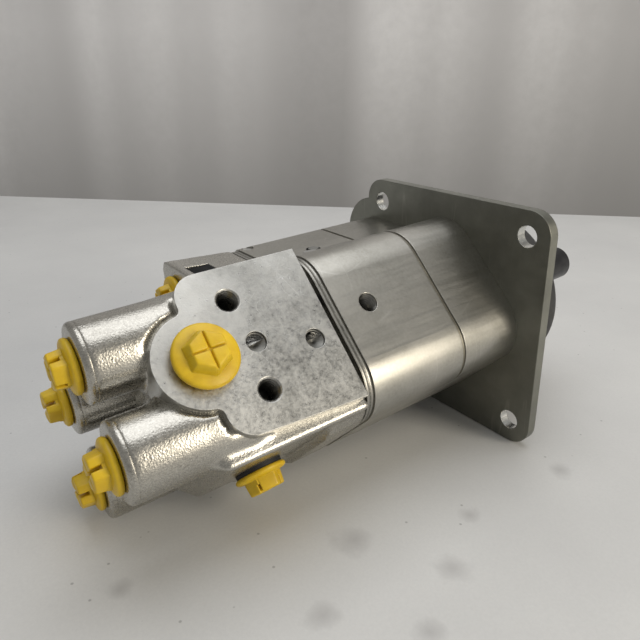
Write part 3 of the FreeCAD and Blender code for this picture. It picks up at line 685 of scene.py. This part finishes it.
def cover_with_skin(piece, smoothing):
    """Voxel skin over a piece, smoothed a number of times."""
    cover = piece.modifiers.new("skin", "REMESH")
    cover.mode = "VOXEL"
    cover.voxel_size = VOXEL * MM
    cover.use_smooth_shade = True
    if smoothing:
        ease = piece.modifiers.new("ease", "SMOOTH")
        ease.factor = 0.6
        ease.iterations = smoothing
    apply_modifiers(piece)


def rough_solids(mesh):
    """Collar, block, shoulder, web, bosses and lobe, as solids that overlap."""
    rounded_box(mesh, (-COLLAR_HALF, -COLLAR_HALF, COLLAR_BOTTOM), (COLLAR_HALF, COLLAR_HALF, MANIFOLD_TOP),
                COLLAR_CORNER)
    sliced(mesh, Vector((0, LEDGE, 0)) * MM, (0, 1, 0))
    for low, high, inset in BLOCKS:
        rounded_box(mesh, low, high, BLOCK_CORNER, low_inset=inset, high_radius=LEDGE_CORNER)
    web_x, web_y = WEB_HALVES
    rounded_box(mesh, (-web_x, -web_y, BOSS_ROOT), (web_x, web_y, TAPER_TOP), BLOCK_CORNER)
    for across, out in WORK_PORTS:
        rod_along(mesh, Vector((across, out, BOSS_END + CAST_SHORT)) * MM, (0, 0, 1), BOSS_LENGTH, BOSS_RADIUS)
        rod_along(mesh, Vector((across, out, BOSS_ROOT)) * MM, (0, 0, 1), ROOT_LENGTH, BOSS_RADIUS, ROOT_RADIUS)
    rod_along(mesh, Vector((-PRESSURE_REACH, 0, PRESSURE_PORT_HEIGHT)) * MM, (1, 0, 0), PRESSURE_BOSS_LENGTH,
              PRESSURE_BOSS_RADIUS)
    rod_along(mesh, Vector((PORT_SHIFT, 0, TANK_PORT_HEIGHT)) * MM, (0, 1, 0), LEDGE, TANK_ROOT_RADIUS)
    bmesh.ops.transform(mesh, matrix=BODY_TURN, verts=mesh.verts)
    rounded_box(mesh, (-LOBE_REACH, -LOBE_HALF, LOBE_BOTTOM), (0, LOBE_HALF, MANIFOLD_TOP), LOBE_CORNER,
                low_inset=(0, -LOBE_SPREAD))


def make_casting_skin():
    mesh = bmesh.new()
    rough_solids(mesh)
    skin = finish_piece(mesh, "manifold_casting", CASTING, replaces=["port_manifold"])
    cover_with_skin(skin, 0)
    carve(skin, pad_plate("channel", GROOVE_WIDTH, PAD_FACE - GROOVE_DEPTH, PAD_FACE + CUT_CLEAR))
    cover_with_skin(skin, 3)
    return skin


casting = make_casting_skin()
print("casting skin:", len(casting.data.polygons), "faces")

# %% [markdown]
# The bores are drilled after the casting, so they are cut last and keep crisp edges. The pocket takes the
# milled pad, which is a solid of its own. The dark pocket in the lobe's face is cut here too. The lobe
# isn't turned with the housings, so its places are in the frame's own axes.

# %% Bores and pockets
PORT_RADIUS = 5.8
DRILL_START = 2
WORK_BORE, PRESSURE_BORE, LOBE_BORE = 20, 18, 16
PAD_ROOT = 22.2
PAD_POCKET_FLOOR = 22.6
PAD_POCKET_MARGIN = -1.6
LOBE_PORT = Vector((-43.0, -22.0, LOBE_BOTTOM)) * MM
LOBE_POCKET = (-39.5, -27.0, -109.0, -98.5)
LOBE_POCKET_CUT = 4


def drill_casting(skin):
    mesh = bmesh.new()
    up, inwards = Vector((0, 0, 1)), BODY_TURN @ Vector((1, 0, 0))
    bores = [(housing_place(across, out, BOSS_END - DRILL_START), up, WORK_BORE) for across, out in WORK_PORTS]
    bores += [(housing_place(-PRESSURE_REACH - DRILL_START, 0, PRESSURE_PORT_HEIGHT), inwards, PRESSURE_BORE),
              (LOBE_PORT - up * DRILL_START * MM, up, LOBE_BORE)]
    for place, direction, depth in bores:
        rod_along(mesh, place, direction, depth, PORT_RADIUS, segments=48)
    low_x, high_x, low_z, high_z = LOBE_POCKET
    rounded_box(mesh, (low_x, -LOBE_HALF - LOBE_POCKET_CUT, low_z),
                (high_x, -LOBE_HALF + LOBE_POCKET_CUT, high_z), 0)
    carve(skin, finish_piece(mesh, "drills", body=None))
    carve(skin, pad_plate("pocket", PAD_POCKET_MARGIN, PAD_POCKET_FLOOR, PAD_FACE + CUT_CLEAR))
    skin.data.shade_smooth()
    skin.data.set_sharp_from_angle(angle=math.radians(50))


drill_casting(casting)
print("drilled skin:", len(casting.data.polygons), "faces")

# %% [markdown]
# ## Machined pad
# After casting, the flange pad is milled flat and drilled: two threaded holes, two drill dimples and the
# large port. Machined edges are crisp, so the pad is a solid cut with boolean tools, and a narrow bevel
# catches the light along its edges.

# %% Pad
PAD_HOLES = ((PORT_SHIFT + 16.5, -116.2), (PORT_SHIFT - 16.5, -116.2))
PAD_HOLE_RADIUS = 3.7
PAD_HOLE_DEPTH = 10
DRILL_LENGTH = 12
TANK_PORT_RADIUS = 8.2
COUNTERSINK = (0.9, 1.0, PAD_HOLE_RADIUS - 0.3, PAD_HOLE_RADIUS + 0.7)
PAD_DIMPLES = ((2.3, -113.2), (-3.4, -92.6))
DIMPLE_RADIUS = 3.6
DIMPLE_DEPTH = 1.2
DIMPLE_POINT = (3.4, 2.25, 0.1, DIMPLE_RADIUS - 0.05)


def pad_rod(mesh, across, height, depth, length, radius, end_radius=None, segments=48):
    """A rod square to the pad, which starts at a depth under the pad's face."""
    rod_along(mesh, housing_place(across, PAD_FACE - depth, height), PAD_NORMAL, length, radius, end_radius,
              segments)


def make_pad():
    pad = pad_plate("machined_pad", 0.0, PAD_ROOT, PAD_FACE)
    straight, tapered = bmesh.new(), bmesh.new()
    for across, height in PAD_HOLES:
        pad_rod(straight, across, height, PAD_HOLE_DEPTH, DRILL_LENGTH, PAD_HOLE_RADIUS)
        pad_rod(tapered, across, height, *COUNTERSINK)
    pad_rod(straight, PORT_SHIFT, TANK_PORT_HEIGHT, PAD_HOLE_DEPTH, DRILL_LENGTH, TANK_PORT_RADIUS,
            segments=64)
    for across, height in PAD_DIMPLES:
        pad_rod(straight, across, height, DIMPLE_DEPTH, 3, DIMPLE_RADIUS)
        pad_rod(tapered, across, height, *DIMPLE_POINT)
    carve(pad, finish_piece(straight, "drills", body=None))
    carve(pad, finish_piece(tapered, "drill points", body=None))
    crisp = pad.modifiers.new("crisp edges", "BEVEL")
    crisp.width = 0.3 * MM
    crisp.segments = 2
    crisp.limit_method = "ANGLE"
    crisp.angle_limit = math.radians(35)
    even = pad.modifiers.new("even shading", "WEIGHTED_NORMAL")
    even.keep_sharp = True
    pad.data.shade_smooth()
    pad.data.set_sharp_from_angle(angle=math.pi)
    apply_modifiers(pad)
    pad.data.materials.clear()
    pad.data.materials.append(MACHINED_FACE)
    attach(pad, "housing")
    return pad


pad = make_pad()
print("pad:", len(pad.data.polygons), "faces")

# %% [markdown]
# A tapped hole shows its thread as thin bright rings in the dark. A zigzag outline, spun about the hole's
# axis, gives those rings. Their steel is painted dark, which stands for the shade inside the hole.

# %% Threads in the open holes
PAD_THREAD = (3.15, 3.66, 1.25, 7)
GAUGE_THREAD = (3.2, 3.78, 1.2, 7)
GAUGE_MOUTH = (3.0, 34.4, -64.6)


def thread_sleeve(name, mouth, core_radius, outer_radius, pitch, turns, slot):
    """Rings of a thread that line a hole in the pad's direction from its mouth inwards."""
    mesh = bmesh.new()
    zigzag = [(core_radius if step % 2 else outer_radius, -step * pitch / 2) for step in range(2 * turns + 1)]
    spin_outline(mesh, zigzag, 36, closed=False)
    floor_z = min(vert.co.z for vert in mesh.verts) + 0.001 * MM
    bmesh.ops.contextual_create(mesh, geom=[edge for edge in mesh.edges if edge.is_boundary
                                            and all(vert.co.z < floor_z for vert in edge.verts)])
    bmesh.ops.recalc_face_normals(mesh, faces=mesh.faces)
    wall = min(mesh.faces, key=lambda face: face.calc_center_median().length)
    if wall.normal.xy.dot(wall.calc_center_median().xy) > 0:
        bmesh.ops.reverse_faces(mesh, faces=mesh.faces)
    turn = Vector((0, 0, 1)).rotation_difference(PAD_NORMAL).to_matrix().to_4x4()
    bmesh.ops.transform(mesh, matrix=Matrix.Translation(mouth) @ turn, verts=mesh.verts)
    finish_piece(mesh, name, BORE_SHADE_STEEL, smooth_angle=None, keep_normals=True)


for number, (across, height) in enumerate(PAD_HOLES, 1):
    thread_sleeve("pad_thread_%d" % number, housing_place(across, PAD_FACE - 0.8, height), *PAD_THREAD,
                  "casting")
thread_sleeve("gauge_thread", housing_place(*GAUGE_MOUTH), *GAUGE_THREAD, "housing")
print("threads cut:", len(PAD_HOLES) + 1)

# %% [markdown]
# Each port boss is faced on a lathe, which leaves a thin ring with a crisp edge at its end. The skin is
# too coarse for that edge, so each boss gets a turned ring over its end.

# %% Faced boss ends
BOSS_FACE = ((PORT_RADIUS, 3.4), (PORT_RADIUS, 0), (BOSS_RADIUS - 1.6, 0), (BOSS_RADIUS - 0.9, 0.2),
             (BOSS_RADIUS - 0.35, 0.7), (BOSS_RADIUS - 0.05, 1.5), (BOSS_RADIUS - 0.05, 2.4),
             (BOSS_RADIUS - 2, 3.4))


def turned_ring(name, place, outline, material, steps):
    """A ring about the lever's direction, spun from an outline of radius and height in millimetres."""
    mesh = bmesh.new()
    spin_outline(mesh, outline, steps)
    bmesh.ops.translate(mesh, vec=place, verts=mesh.verts)
    finish_piece(mesh, name, material)


for number, (across, out) in enumerate(WORK_PORTS, 1):
    turned_ring("boss_end_%d" % number, housing_place(across, out, BOSS_END), BOSS_FACE, CASTING,
                96)
print("boss ends faced:", len(WORK_PORTS))

# %% [markdown]
# Three small details tell how the real parts were made: the lobe's pocket, a pin pressed into the side
# block's face, and the cone that a drill leaves in each dimple. The pocket's floor and a ring round the pin
# are near-black painted shade, and the cones' darker steel is painted shade in the dimples. The cones are
# open surfaces that face outwards, as a drilled floor does.

# %% Lobe pocket, face plug and drill points
FACE_PLUG = Vector((-28.1, -32.5, -53.0)) * MM
FACE_PLUG_SINK = 0.5
# The seat is a near-black ring of painted shade round the pin.
FACE_PLUG_RODS = (("face_plug_seat", 3.3, 0.08, PAINTED_RECESS_SHADE), ("face_plug_pin", 2.3, 0.5, PIN_STEEL_AND_DIMPLE_SHADE))
POCKET_FLOOR = (-1.2, 3.9)
POCKET_PLAY = 0.1
DRILL_POINT = (3.35, 2.3, 0.1, DIMPLE_RADIUS - 0.1)


def lobe_pocket_floor():
    low_x, high_x, low_z, high_z = LOBE_POCKET
    near, deep = POCKET_FLOOR
    mesh = bmesh.new()
    rounded_box(mesh, (low_x + POCKET_PLAY, near - LOBE_HALF, low_z + POCKET_PLAY),
                (high_x - POCKET_PLAY, deep - LOBE_HALF, high_z - POCKET_PLAY), 0)
    # Painted shade: the near-black floor fills the pocket to just under the lobe's face.
    finish_piece(mesh, "lobe_pocket_floor", PAINTED_RECESS_SHADE)


def face_plug():
    for name, radius, rise, material in FACE_PLUG_RODS:
        mesh = bmesh.new()
        rod_along(mesh, FACE_PLUG, (0, -1, 0), FACE_PLUG_SINK + rise, radius, segments=40)
        finish_piece(mesh, name, material)


def drill_point(name, across, height):
    """The cone at the bottom of a dimple, without its top."""
    mesh = bmesh.new()
    pad_rod(mesh, across, height, *DRILL_POINT)
    top = max(mesh.faces, key=lambda face: face.calc_center_median().dot(PAD_NORMAL))
    bmesh.ops.delete(mesh, geom=[top], context="FACES")
    bmesh.ops.recalc_face_normals(mesh, faces=mesh.faces)
    bmesh.ops.reverse_faces(mesh, faces=mesh.faces)
    # The cone's darker steel is painted shade in the dimple.
    finish_piece(mesh, name, PIN_STEEL_AND_DIMPLE_SHADE, smooth_angle=None, keep_normals=True)


lobe_pocket_floor()
face_plug()
for number, place in enumerate(PAD_DIMPLES, 1):
    drill_point("drill_point_%d" % number, *place)
print("drill points:", len(PAD_DIMPLES))

# %% [markdown]
# The plate's four holes are drilled after plating and show bright walls. A thin liner in each hole gives
# that wall its own finish, and the CAD mesh stays whole.

# %% Hole walls in the plate
HOLE_OFFSET = 42.5
PLATE_HOLES = [(x, y) for x in (-HOLE_OFFSET, HOLE_OFFSET) for y in (-HOLE_OFFSET, HOLE_OFFSET)]
HOLE_WALL = ((4.5, 0.03), (4.42, 0.1), (4.42, 4.4), (4.5, 4.47))

for number, (x, y) in enumerate(PLATE_HOLES, 1):
    turned_ring("plate_hole_wall_%d" % number, Vector((x, y, 0)) * MM, HOLE_WALL, HOLE_ZINC, 48)
print("hole walls lined:", len(PLATE_HOLES))

# %% [markdown]
# ## Transport plugs
# Every port is closed with a yellow moulded plug: a thick rim, and a hexagonal head that tapers and that
# two crossed slots split into four blocks. Each block is a tapered hexagon sliced with two planes. A core
# fills the slots up to their floor.

# %% Plugs
HEXAGON = 1 / math.sqrt(3)
CORE_SHARE = 0.965
QUARTERS = ((1, 1), (-1, 1), (-1, -1), (1, -1))


def plug_head_block(mesh, foot_flats, top_flats, foot, head, slot, quarter):
    """One of the four blocks of a plug's head."""
    block = bmesh.new()
    rod_along(block, Vector((0, 0, foot)) * MM, (0, 0, 1), head, foot_flats * HEXAGON, top_flats * HEXAGON, 6)
    for sign, axis in zip(quarter, (Vector((1, 0, 0)), Vector((0, 1, 0)))):
        sliced(block, axis * sign * slot / 2 * MM, -axis * sign)
    bmesh.ops.bevel(block, geom=block.edges[:], offset=0.55 * MM, segments=3, profile=0.5, affect="EDGES",
                    material=-1, clamp_overlap=True)
    data = bpy.data.meshes.new("block")
    block.to_mesh(data)
    block.free()
    mesh.from_mesh(data)
    bpy.data.meshes.remove(data)


def plug_outline(rim, rim_thickness, shank, foot_flats):
    """Shank and rim from the plug's middle outwards and back, as radius and height."""
    return ((0, -6), (shank - 0.5, -6), (shank, -5), (shank, 0.1), (rim - 0.9, 0.1), (rim - 0.3, 0.35),
            (rim, 0.95), (rim, rim_thickness - 1.0), (rim - 0.25, rim_thickness - 0.5),
            (rim - 0.9, rim_thickness - 0.1), (foot_flats / 2, rim_thickness + 0.4), (0, rim_thickness + 0.4))


def transport_plug(name, place, direction, groove_towards, rim, rim_thickness, shank, foot_flats, top_flats,
                   head, slot, slot_depth, node):
    """A plug with its rim seated at a place and one slot that runs towards a given direction."""
    mesh = bmesh.new()
    spin_outline(mesh, plug_outline(rim, rim_thickness, shank, foot_flats), 64, closed=False, merge=0.01)
    share = 1 - slot_depth / head
    floor_flats = foot_flats + (top_flats - foot_flats) * share
    rod_along(mesh, Vector((0, 0, rim_thickness)) * MM, (0, 0, 1), head * share,
              foot_flats * CORE_SHARE * HEXAGON, floor_flats * CORE_SHARE * HEXAGON, segments=6)
    for quarter in QUARTERS:
        plug_head_block(mesh, foot_flats, top_flats, rim_thickness - 0.4, head + 0.4, slot, quarter)
    up = Vector(direction).normalized()
    side = (groove_towards - up * groove_towards.dot(up)).normalized()
    turn = Matrix((side, up.cross(side), up)).transposed().to_4x4()
    bmesh.ops.transform(mesh, matrix=Matrix.Translation(place) @ turn, verts=mesh.verts)
    finish_piece(mesh, name, PLUG_PLASTIC, replaces=[node], smooth_angle=50)


print("plug head corners at", round(HEXAGON, 3), "of the flats")

# %% [markdown]
# The four work ports and the lobe's port take the same plug, and the flange port and the side port each
# take their own. In the photo every head is turned its own way, so each plug gets the angle its slot was
# seen at.

# %% Plugs in their ports
SMALL_PLUG = dict(rim=9.2, rim_thickness=2.7, shank=5.6, foot_flats=12.0, top_flats=11.0, head=4.9, slot=1.2,
                  slot_depth=3.4)
LARGE_PLUG = dict(rim=10.9, rim_thickness=2.8, shank=8.0, foot_flats=14.2, top_flats=11.2, head=4.4,
                  slot=0.55, slot_depth=1.2)
SIDE_PLUG = dict(rim=9.6, rim_thickness=2.3, shank=5.6, foot_flats=12.4, top_flats=11.4, head=5.2, slot=1.0,
                 slot_depth=3.0)
WORK_PLUG_ANGLES = (-62.0, -45.0, -38.0, -19.0)
LARGE_PLUG_PROUD = 1.6
SIDE_PLUG_PROUD = 2.6


def level_direction(angle):
    """A direction square to the lever, by its angle from +X in degrees."""
    return Vector((math.cos(math.radians(angle)), math.sin(math.radians(angle)), 0))


for number, ((across, out), angle) in enumerate(zip(WORK_PORTS, WORK_PLUG_ANGLES), 1):
    transport_plug("work_plug_%d" % number, housing_place(across, out, BOSS_END), (0, 0, -1),
                   level_direction(angle), node="work_port_plug_%d" % number, **SMALL_PLUG)
transport_plug("tank_plug", housing_place(PORT_SHIFT, PAD_FACE + LARGE_PLUG_PROUD, TANK_PORT_HEIGHT),
               PAD_NORMAL, Vector((0, 0, 1)), node="tank_port_plug", **LARGE_PLUG)
transport_plug("pressure_plug", housing_place(-PRESSURE_REACH - SIDE_PLUG_PROUD, 0, PRESSURE_PORT_HEIGHT),
               BODY_TURN @ Vector((-1, 0, 0)), level_direction(-20.0) + Vector((0, 0, 1)),
               node="pressure_port_plug", **SIDE_PLUG)
transport_plug("lobe_plug", LOBE_PORT, (0, 0, -1), level_direction(-60.0), node="lobe_port_plug", **SMALL_PLUG)
print("plugs pressed in:", len(WORK_PORTS) + 3)

# %% [markdown]
# ## Boot
# The rubber bellows reaches from its flange under the clamp ring to the lever. Its outline is spun once
# and rounded with subdivision. The lever tilts on a cross with two hinges. The boot is sliced into two
# rings.

# %% Boot
BOOT_WALL = 1.6
BOOT_FLANGE = ((43.7, 4.55), (44.0, 4.8), (44.0, 6.3), (43.6, 6.5), (34.6, 6.5), (34.0, 7.0))
BOOT_OUTLINE = ((34.0, 11.2), (36.6, 13.6), (37.4, 16.2), (36.6, 19.0), (38.2, 21.8), (39.3, 25.4),
                (39.3, 31.4), (37.6, 34.2), (32.2, 36.2), (30.8, 37.6), (32.2, 39.6), (31.4, 42.0),
                (25.2, 44.2), (24.0, 45.6), (25.2, 47.6), (24.2, 50.0), (18.8, 52.4), (17.6, 53.8),
                (18.8, 56.0), (17.6, 58.4), (12.4, 61.0), (10.6, 63.0), (9.9, 66.0), (9.7, 68.6))
BOOT_INNER_FLANGE = ((31.6, 6.3), (31.4, 4.55))
LEVER_CLEAR = 6.4
BOOT_SPLIT = 37.6
BOOT_RINGS = (("boot_skirt", "housing", "cross", 4.0, BOOT_SPLIT, 14.0, BOOT_SPLIT),
              ("boot_bellows", "cross", "lever", BOOT_SPLIT, 70.0, BOOT_SPLIT, 62.0))


def boot_shell():
    """The whole bellows as one closed ring of rubber, outside and inside."""
    mesh = bmesh.new()
    inside = tuple((max(radius - BOOT_WALL, LEVER_CLEAR), height - 0.2)
                   for radius, height in reversed(BOOT_OUTLINE))
    spin_outline(mesh, BOOT_FLANGE + BOOT_OUTLINE + inside + BOOT_INNER_FLANGE, 48)
    shell = finish_piece(mesh, "boot_shell", BOOT_RUBBER, body=None)
    rounding = shell.modifiers.new("rounding", "SUBSURF")
    rounding.levels = rounding.render_levels = 1
    return apply_modifiers(shell)


def slice_boot(shell):
    for name, first, second, low, high, start, end in BOOT_RINGS:
        mesh = bmesh.new()
        mesh.from_mesh(shell.data)
        for height, normal in ((low, -1), (high, 1)):
            sliced(mesh, (0, 0, height * MM), (0, 0, normal), close=False)
        ring = finish_piece(mesh, name, BOOT_RUBBER, body=None, smooth_angle=80)
        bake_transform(ring)
        if first == "housing":
            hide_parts("boot")
    bpy.data.objects.remove(shell)


slice_boot(boot_shell())
print("boot sliced into", len(BOOT_RINGS), "rings")

# %% [markdown]
# ## Springs
# Four return springs push the plungers up, and a smaller metering spring stands inside each. They are
# wound from round wire with closed end turns. Their upper ends move with the plungers and their lower
# ends stay. The metering springs start a little above the spools, which rise by 1.6 mm.

# %% Springs
STATION_RADIUS = 22.0
STATIONS = {"east": (1, 0), "north": (0, 1), "west": (-1, 0), "south": (0, -1)}
WIRE_SIDES = 8
STEPS_PER_TURN = 20
COILS = (("return_spring", 6.7, 1.5, 5.0, -39.7, -17.0), ("metering_spring", 3.7, 0.9, 4.0, -27.7, -17.0))


def coil_height(turn, turns, wire, length):
    """Height of the wire's centre after some turns: the first and last turn lie nearly closed."""
    closed = 1.06 * wire
    free = (length - wire - 2 * closed) / (turns - 2)
    if turn < 1:
        return wire / 2 + closed * turn
    if turn < turns - 1:
        return wire / 2 + closed + free * (turn - 1)
    return length - wire / 2 - closed * (turns - turn)


def wire_ring(mesh, x, y, height, angle, radius, wire):
    """The wire's section at one angle of the coil, as a ring of points."""
    ring = []
    for side in range(WIRE_SIDES):
        around = 2 * math.pi * side / WIRE_SIDES
        reach = radius + wire / 2 * math.cos(around)
        ring.append(mesh.verts.new(Vector((x + reach * math.cos(angle), y + reach * math.sin(angle),
                                           height + wire / 2 * math.sin(around))) * MM))
    return ring


def wind_coil(name, station, radius, wire, turns, low, high):
    """A compression spring of round wire about one station, between two heights."""
    x, y = (STATION_RADIUS * part for part in STATIONS[station])
    mesh = bmesh.new()
    rings = []
    for step in range(int(turns * STEPS_PER_TURN) + 1):
        turn = step / STEPS_PER_TURN
        height = low + coil_height(turn, turns, wire, high - low)
        rings.append(wire_ring(mesh, x, y, height, 2 * math.pi * turn, radius, wire))
    for below, above in zip(rings, rings[1:]):
        for side in range(WIRE_SIDES):
            after = (side + 1) % WIRE_SIDES
            mesh.faces.new((below[side], below[after], above[after], above[side]))
    mesh.faces.new(rings[0])
    mesh.faces.new(rings[-1])
    coil = finish_piece(mesh, "round_%s_%s" % (name, station), SPRING_STEEL, body=None,
                        replaces=("%s_%s" % (name, station),))
    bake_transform(coil)


for station in STATIONS:
    for name, *sizes in COILS:
        wind_coil(name, station, *sizes)
print("springs wound:", len(STATIONS) * len(COILS))

# %% [markdown]
# ## Table, backdrop and light
# The valve rests on the plate's side and on the manifold's lowest corner. The table passes through both,
# so it stands nearly upright in the CAD frame. Places on it are found from the picture: a ray through a
# pixel meets the table at one spot.

# %% Table plane
TABLE_POINT = Vector((0, 53.4, 0)) * MM
TABLE_NORMAL = Vector((0, -0.9973, 0.0738)).normalized()
VIEW_ALONG = -(CAMERA_BACK - CAMERA_BACK.dot(TABLE_NORMAL) * TABLE_NORMAL).normalized()
VIEW_ACROSS = VIEW_ALONG.cross(TABLE_NORMAL).normalized()
PICTURE = 640


def table_spot(across, down):
    """The place on the table that shows at a pixel of the picture."""
    pixel = SENSOR_WIDTH / CAMERA_LENS / PICTURE
    ray = CAMERA_RIGHT * (across - PICTURE / 2) * pixel + CAMERA_UP * (PICTURE / 2 - down) * pixel - CAMERA_BACK
    reach = (TABLE_POINT - CAMERA_PLACE).dot(TABLE_NORMAL) / ray.dot(TABLE_NORMAL)
    return CAMERA_PLACE + ray * reach


print("table normal", [round(c, 3) for c in TABLE_NORMAL])

# %% [markdown]
# The table is a matte grey board with fine specks and a few faint dark stains. A stain is a soft round
# mask about a place, and noise makes its edge uneven. Table and backdrop are drawn on one side only,
# which keeps them out of the way when the object is looked at from behind.

# %% Table board
STAINS = ((355, 540, 9), (452, 568, 8), (323, 615, 7), (430, 632, 6), (560, 470, 6), (470, 515, 5),
          (120, 590, 5))


def make_stain_group():
    """A soft round mark about a place, with an uneven edge."""
    group, inlet, outlet = new_group("stain", "Mask", X=0.0, Y=0.0, Z=0.0, Radius=0.01)
    centre = add_node(group, "ShaderNodeCombineXYZ", X=inlet["X"], Y=inlet["Y"], Z=inlet["Z"])
    away = calculate(group, "DISTANCE", object_point(group), centre.outputs[0], kind="ShaderNodeVectorMath")
    wobble = ranged(group, noise_value(group, Scale=160.0, Detail=3.0), To_Min=0.35, To_Max=1.7)
    uneven = calculate(group, "MULTIPLY", away, wobble)
    group.links.new(ranged(group, uneven, From_Max=inlet["Radius"], To_Min=1.0, To_Max=0.0), outlet)
    return group


def show_front_only(material, tree, shader):
    """Draws a stage surface from its front only, and hides its back."""
    side = tree.nodes.new("ShaderNodeNewGeometry")
    clear = tree.nodes.new("ShaderNodeBsdfTransparent")
    choose = tree.nodes.new("ShaderNodeMixShader")
    for socket, source in zip(choose.inputs, (side.outputs["Backfacing"], shader.outputs[0], clear.outputs[0])):
        tree.links.new(source, socket)
    tree.links.new(choose.outputs[0], tree.nodes["Material Output"].inputs["Surface"])
    return material


def make_table_paint():
    material, tree, shader = new_material("table board", 0.0, 0.62)
    colour = mix_colours(tree, cloudy(tree, 7.0), (0.60, 0.60, 0.595), (0.67, 0.67, 0.66))
    colour = mix_colours(tree, cloudy(tree, 900.0, high=0.22), colour, (0.50, 0.50, 0.50))
    stain_group = make_stain_group()
    for across, down, size in STAINS:
        spot = table_spot(across, down)
        mask = use_group(tree, stain_group, "Mask", X=spot.x, Y=spot.y, Z=spot.z, Radius=size * MM)
        colour = mix_colours(tree, ranged(tree, mask, To_Max=0.45), colour, (0.28, 0.27, 0.27))
    specks = add_node(tree, "ShaderNodeTexVoronoi", Vector=object_point(tree), Scale=95.0).outputs["Distance"]
    dots = ranged(tree, specks, From_Min=0.035, From_Max=0.06, To_Min=0.45, To_Max=0.0)
    tree.links.new(mix_colours(tree, dots, colour, (0.12, 0.12, 0.12)), shader.inputs["Base Color"])
    return show_front_only(material, tree, shader)


TABLE_PAINT = make_table_paint()
print("material:", TABLE_PAINT.name)

# %% [markdown]
# Grey cloth hangs behind the table in soft upright folds, painted on a flat sheet as bands of light and
# shade, and painted shade darkens it towards its left and its low end. Noise in one direction only makes
# the fold bands, and two ranges of distance make the darker ends.

# %% Backdrop cloth
CLOTH_SHADE_ACROSS = (table_spot(80, 196).dot(VIEW_ACROSS), table_spot(PICTURE, 217).dot(VIEW_ACROSS))
CLOTH_SHADE_RISE = (TABLE_POINT.dot(TABLE_NORMAL) + 0.22, TABLE_POINT.dot(TABLE_NORMAL) - 0.05)


def make_backdrop_cloth():
    material, tree, shader = new_material("backdrop cloth", 0.0, 0.9)

    def along(direction):
        return calculate(tree, "DOT_PRODUCT", object_point(tree), direction, kind="ShaderNodeVectorMath")

    # Painted light and shade: the folds are upright bands between a shaded grey and a lit grey.
    fold_light_and_shade = add_node(tree, "ShaderNodeTexNoise", noise_dimensions="1D", W=along(VIEW_ACROSS), Scale=5.5,
                     Detail=1.5).outputs["Fac"]
    colour = mix_colours(tree, ranged(tree, fold_light_and_shade, From_Min=0.35, From_Max=0.65), (0.52, 0.51, 0.51),
                         (0.88, 0.87, 0.87))
    colour = mix_colours(tree, cloudy(tree, 60.0, high=0.3), colour, (0.62, 0.61, 0.61))
    # Painted shade: darker towards the cloth's left and its low end.
    for direction, (near, far), most in ((VIEW_ACROSS, CLOTH_SHADE_ACROSS, 0.42), (TABLE_NORMAL, CLOTH_SHADE_RISE, 0.62)):
        shade = ranged(tree, along(direction), From_Min=near, From_Max=far, To_Max=most)
        colour = mix_colours(tree, shade, colour, (0.22, 0.215, 0.21))
    tree.links.new(colour, shader.inputs["Base Color"])
    return show_front_only(material, tree, shader)


CLOTH = make_backdrop_cloth()
print("material:", CLOTH.name)

# %% [markdown]
# Both are flat sheets. The table's far edge lies where the photo shows it, and the backdrop starts a
# little behind and under that edge.

# %% Table and backdrop


def stage_sheet(name, corners, facing, material):
    """A flat sheet between four corners, with its front towards a given direction."""
    mesh = bmesh.new()
    face = mesh.faces.new([mesh.verts.new(corner) for corner in corners])
    mesh.normal_update()
    if face.normal.dot(facing) < 0:
        bmesh.ops.reverse_faces(mesh, faces=[face])
    sheet = finish_piece(mesh, name, material, body=None, smooth_angle=None, keep_normals=True)


far_left, far_right = table_spot(0, 196), table_spot(PICTURE, 217)
far_middle, far_side = (far_left + far_right) / 2, (far_right - far_left).normalized() * 1.8
near_middle = far_middle - VIEW_ALONG * 2.0
stage_sheet("table", (near_middle - far_side, near_middle + far_side, far_middle + far_side,
                      far_middle - far_side), TABLE_NORMAL, TABLE_PAINT)
wall_middle, wall_rise = far_middle + VIEW_ALONG * 0.25 - TABLE_NORMAL * 0.2, TABLE_NORMAL * 2.0
stage_sheet("backdrop", (wall_middle - far_side, wall_middle + far_side, wall_middle + far_side + wall_rise,
                         wall_middle - far_side + wall_rise), -VIEW_ALONG, CLOTH)
print("table's far edge", [round(c, 3) for c in far_middle])

# %% [markdown]
# The highlights on the housings tell where the light comes from: a wide cool ceiling light gives the
# white bands on top, and a warm window at the right gives the cream bands lower down.

# %% Lamps and world
OBJECT_CENTRE = Vector((0, 0, -0.06))


def stage_place(across, along, up):
    """A place given from the object's middle, in the camera's directions along the table."""
    return OBJECT_CENTRE + VIEW_ACROSS * across + VIEW_ALONG * along + TABLE_NORMAL * up


def area_lamp(name, place, size, power, colour):
    """A rectangular lamp that faces the object."""
    lamp = bpy.data.objects.new(name, bpy.data.lights.new(name, "AREA"))
    lamp.data.shape = "RECTANGLE"
    lamp.data.size, lamp.data.size_y = size
    lamp.data.energy = power
    lamp.data.color = colour
    lamp.location = place
    lamp.rotation_mode = "QUATERNION"
    lamp.rotation_quaternion = (OBJECT_CENTRE - place).to_track_quat("-Z", "Y")
    scene.collection.objects.link(lamp)


area_lamp("ceiling", stage_place(0.05, 0.15, 1.0), (1.0, 1.0), 6.0, (0.97, 0.98, 1.0))
area_lamp("window", stage_place(0.85, -0.5, 0.30), (0.6, 0.36), 6.0, (1.0, 0.92, 0.78))

world = bpy.data.worlds.new("room")
world.use_nodes = True
world.node_tree.nodes["Background"].inputs["Color"].default_value = (0.92, 0.91, 0.88, 1)
world.node_tree.nodes["Background"].inputs["Strength"].default_value = 0.36
scene.world = world
scene.view_settings.view_transform = "Standard"
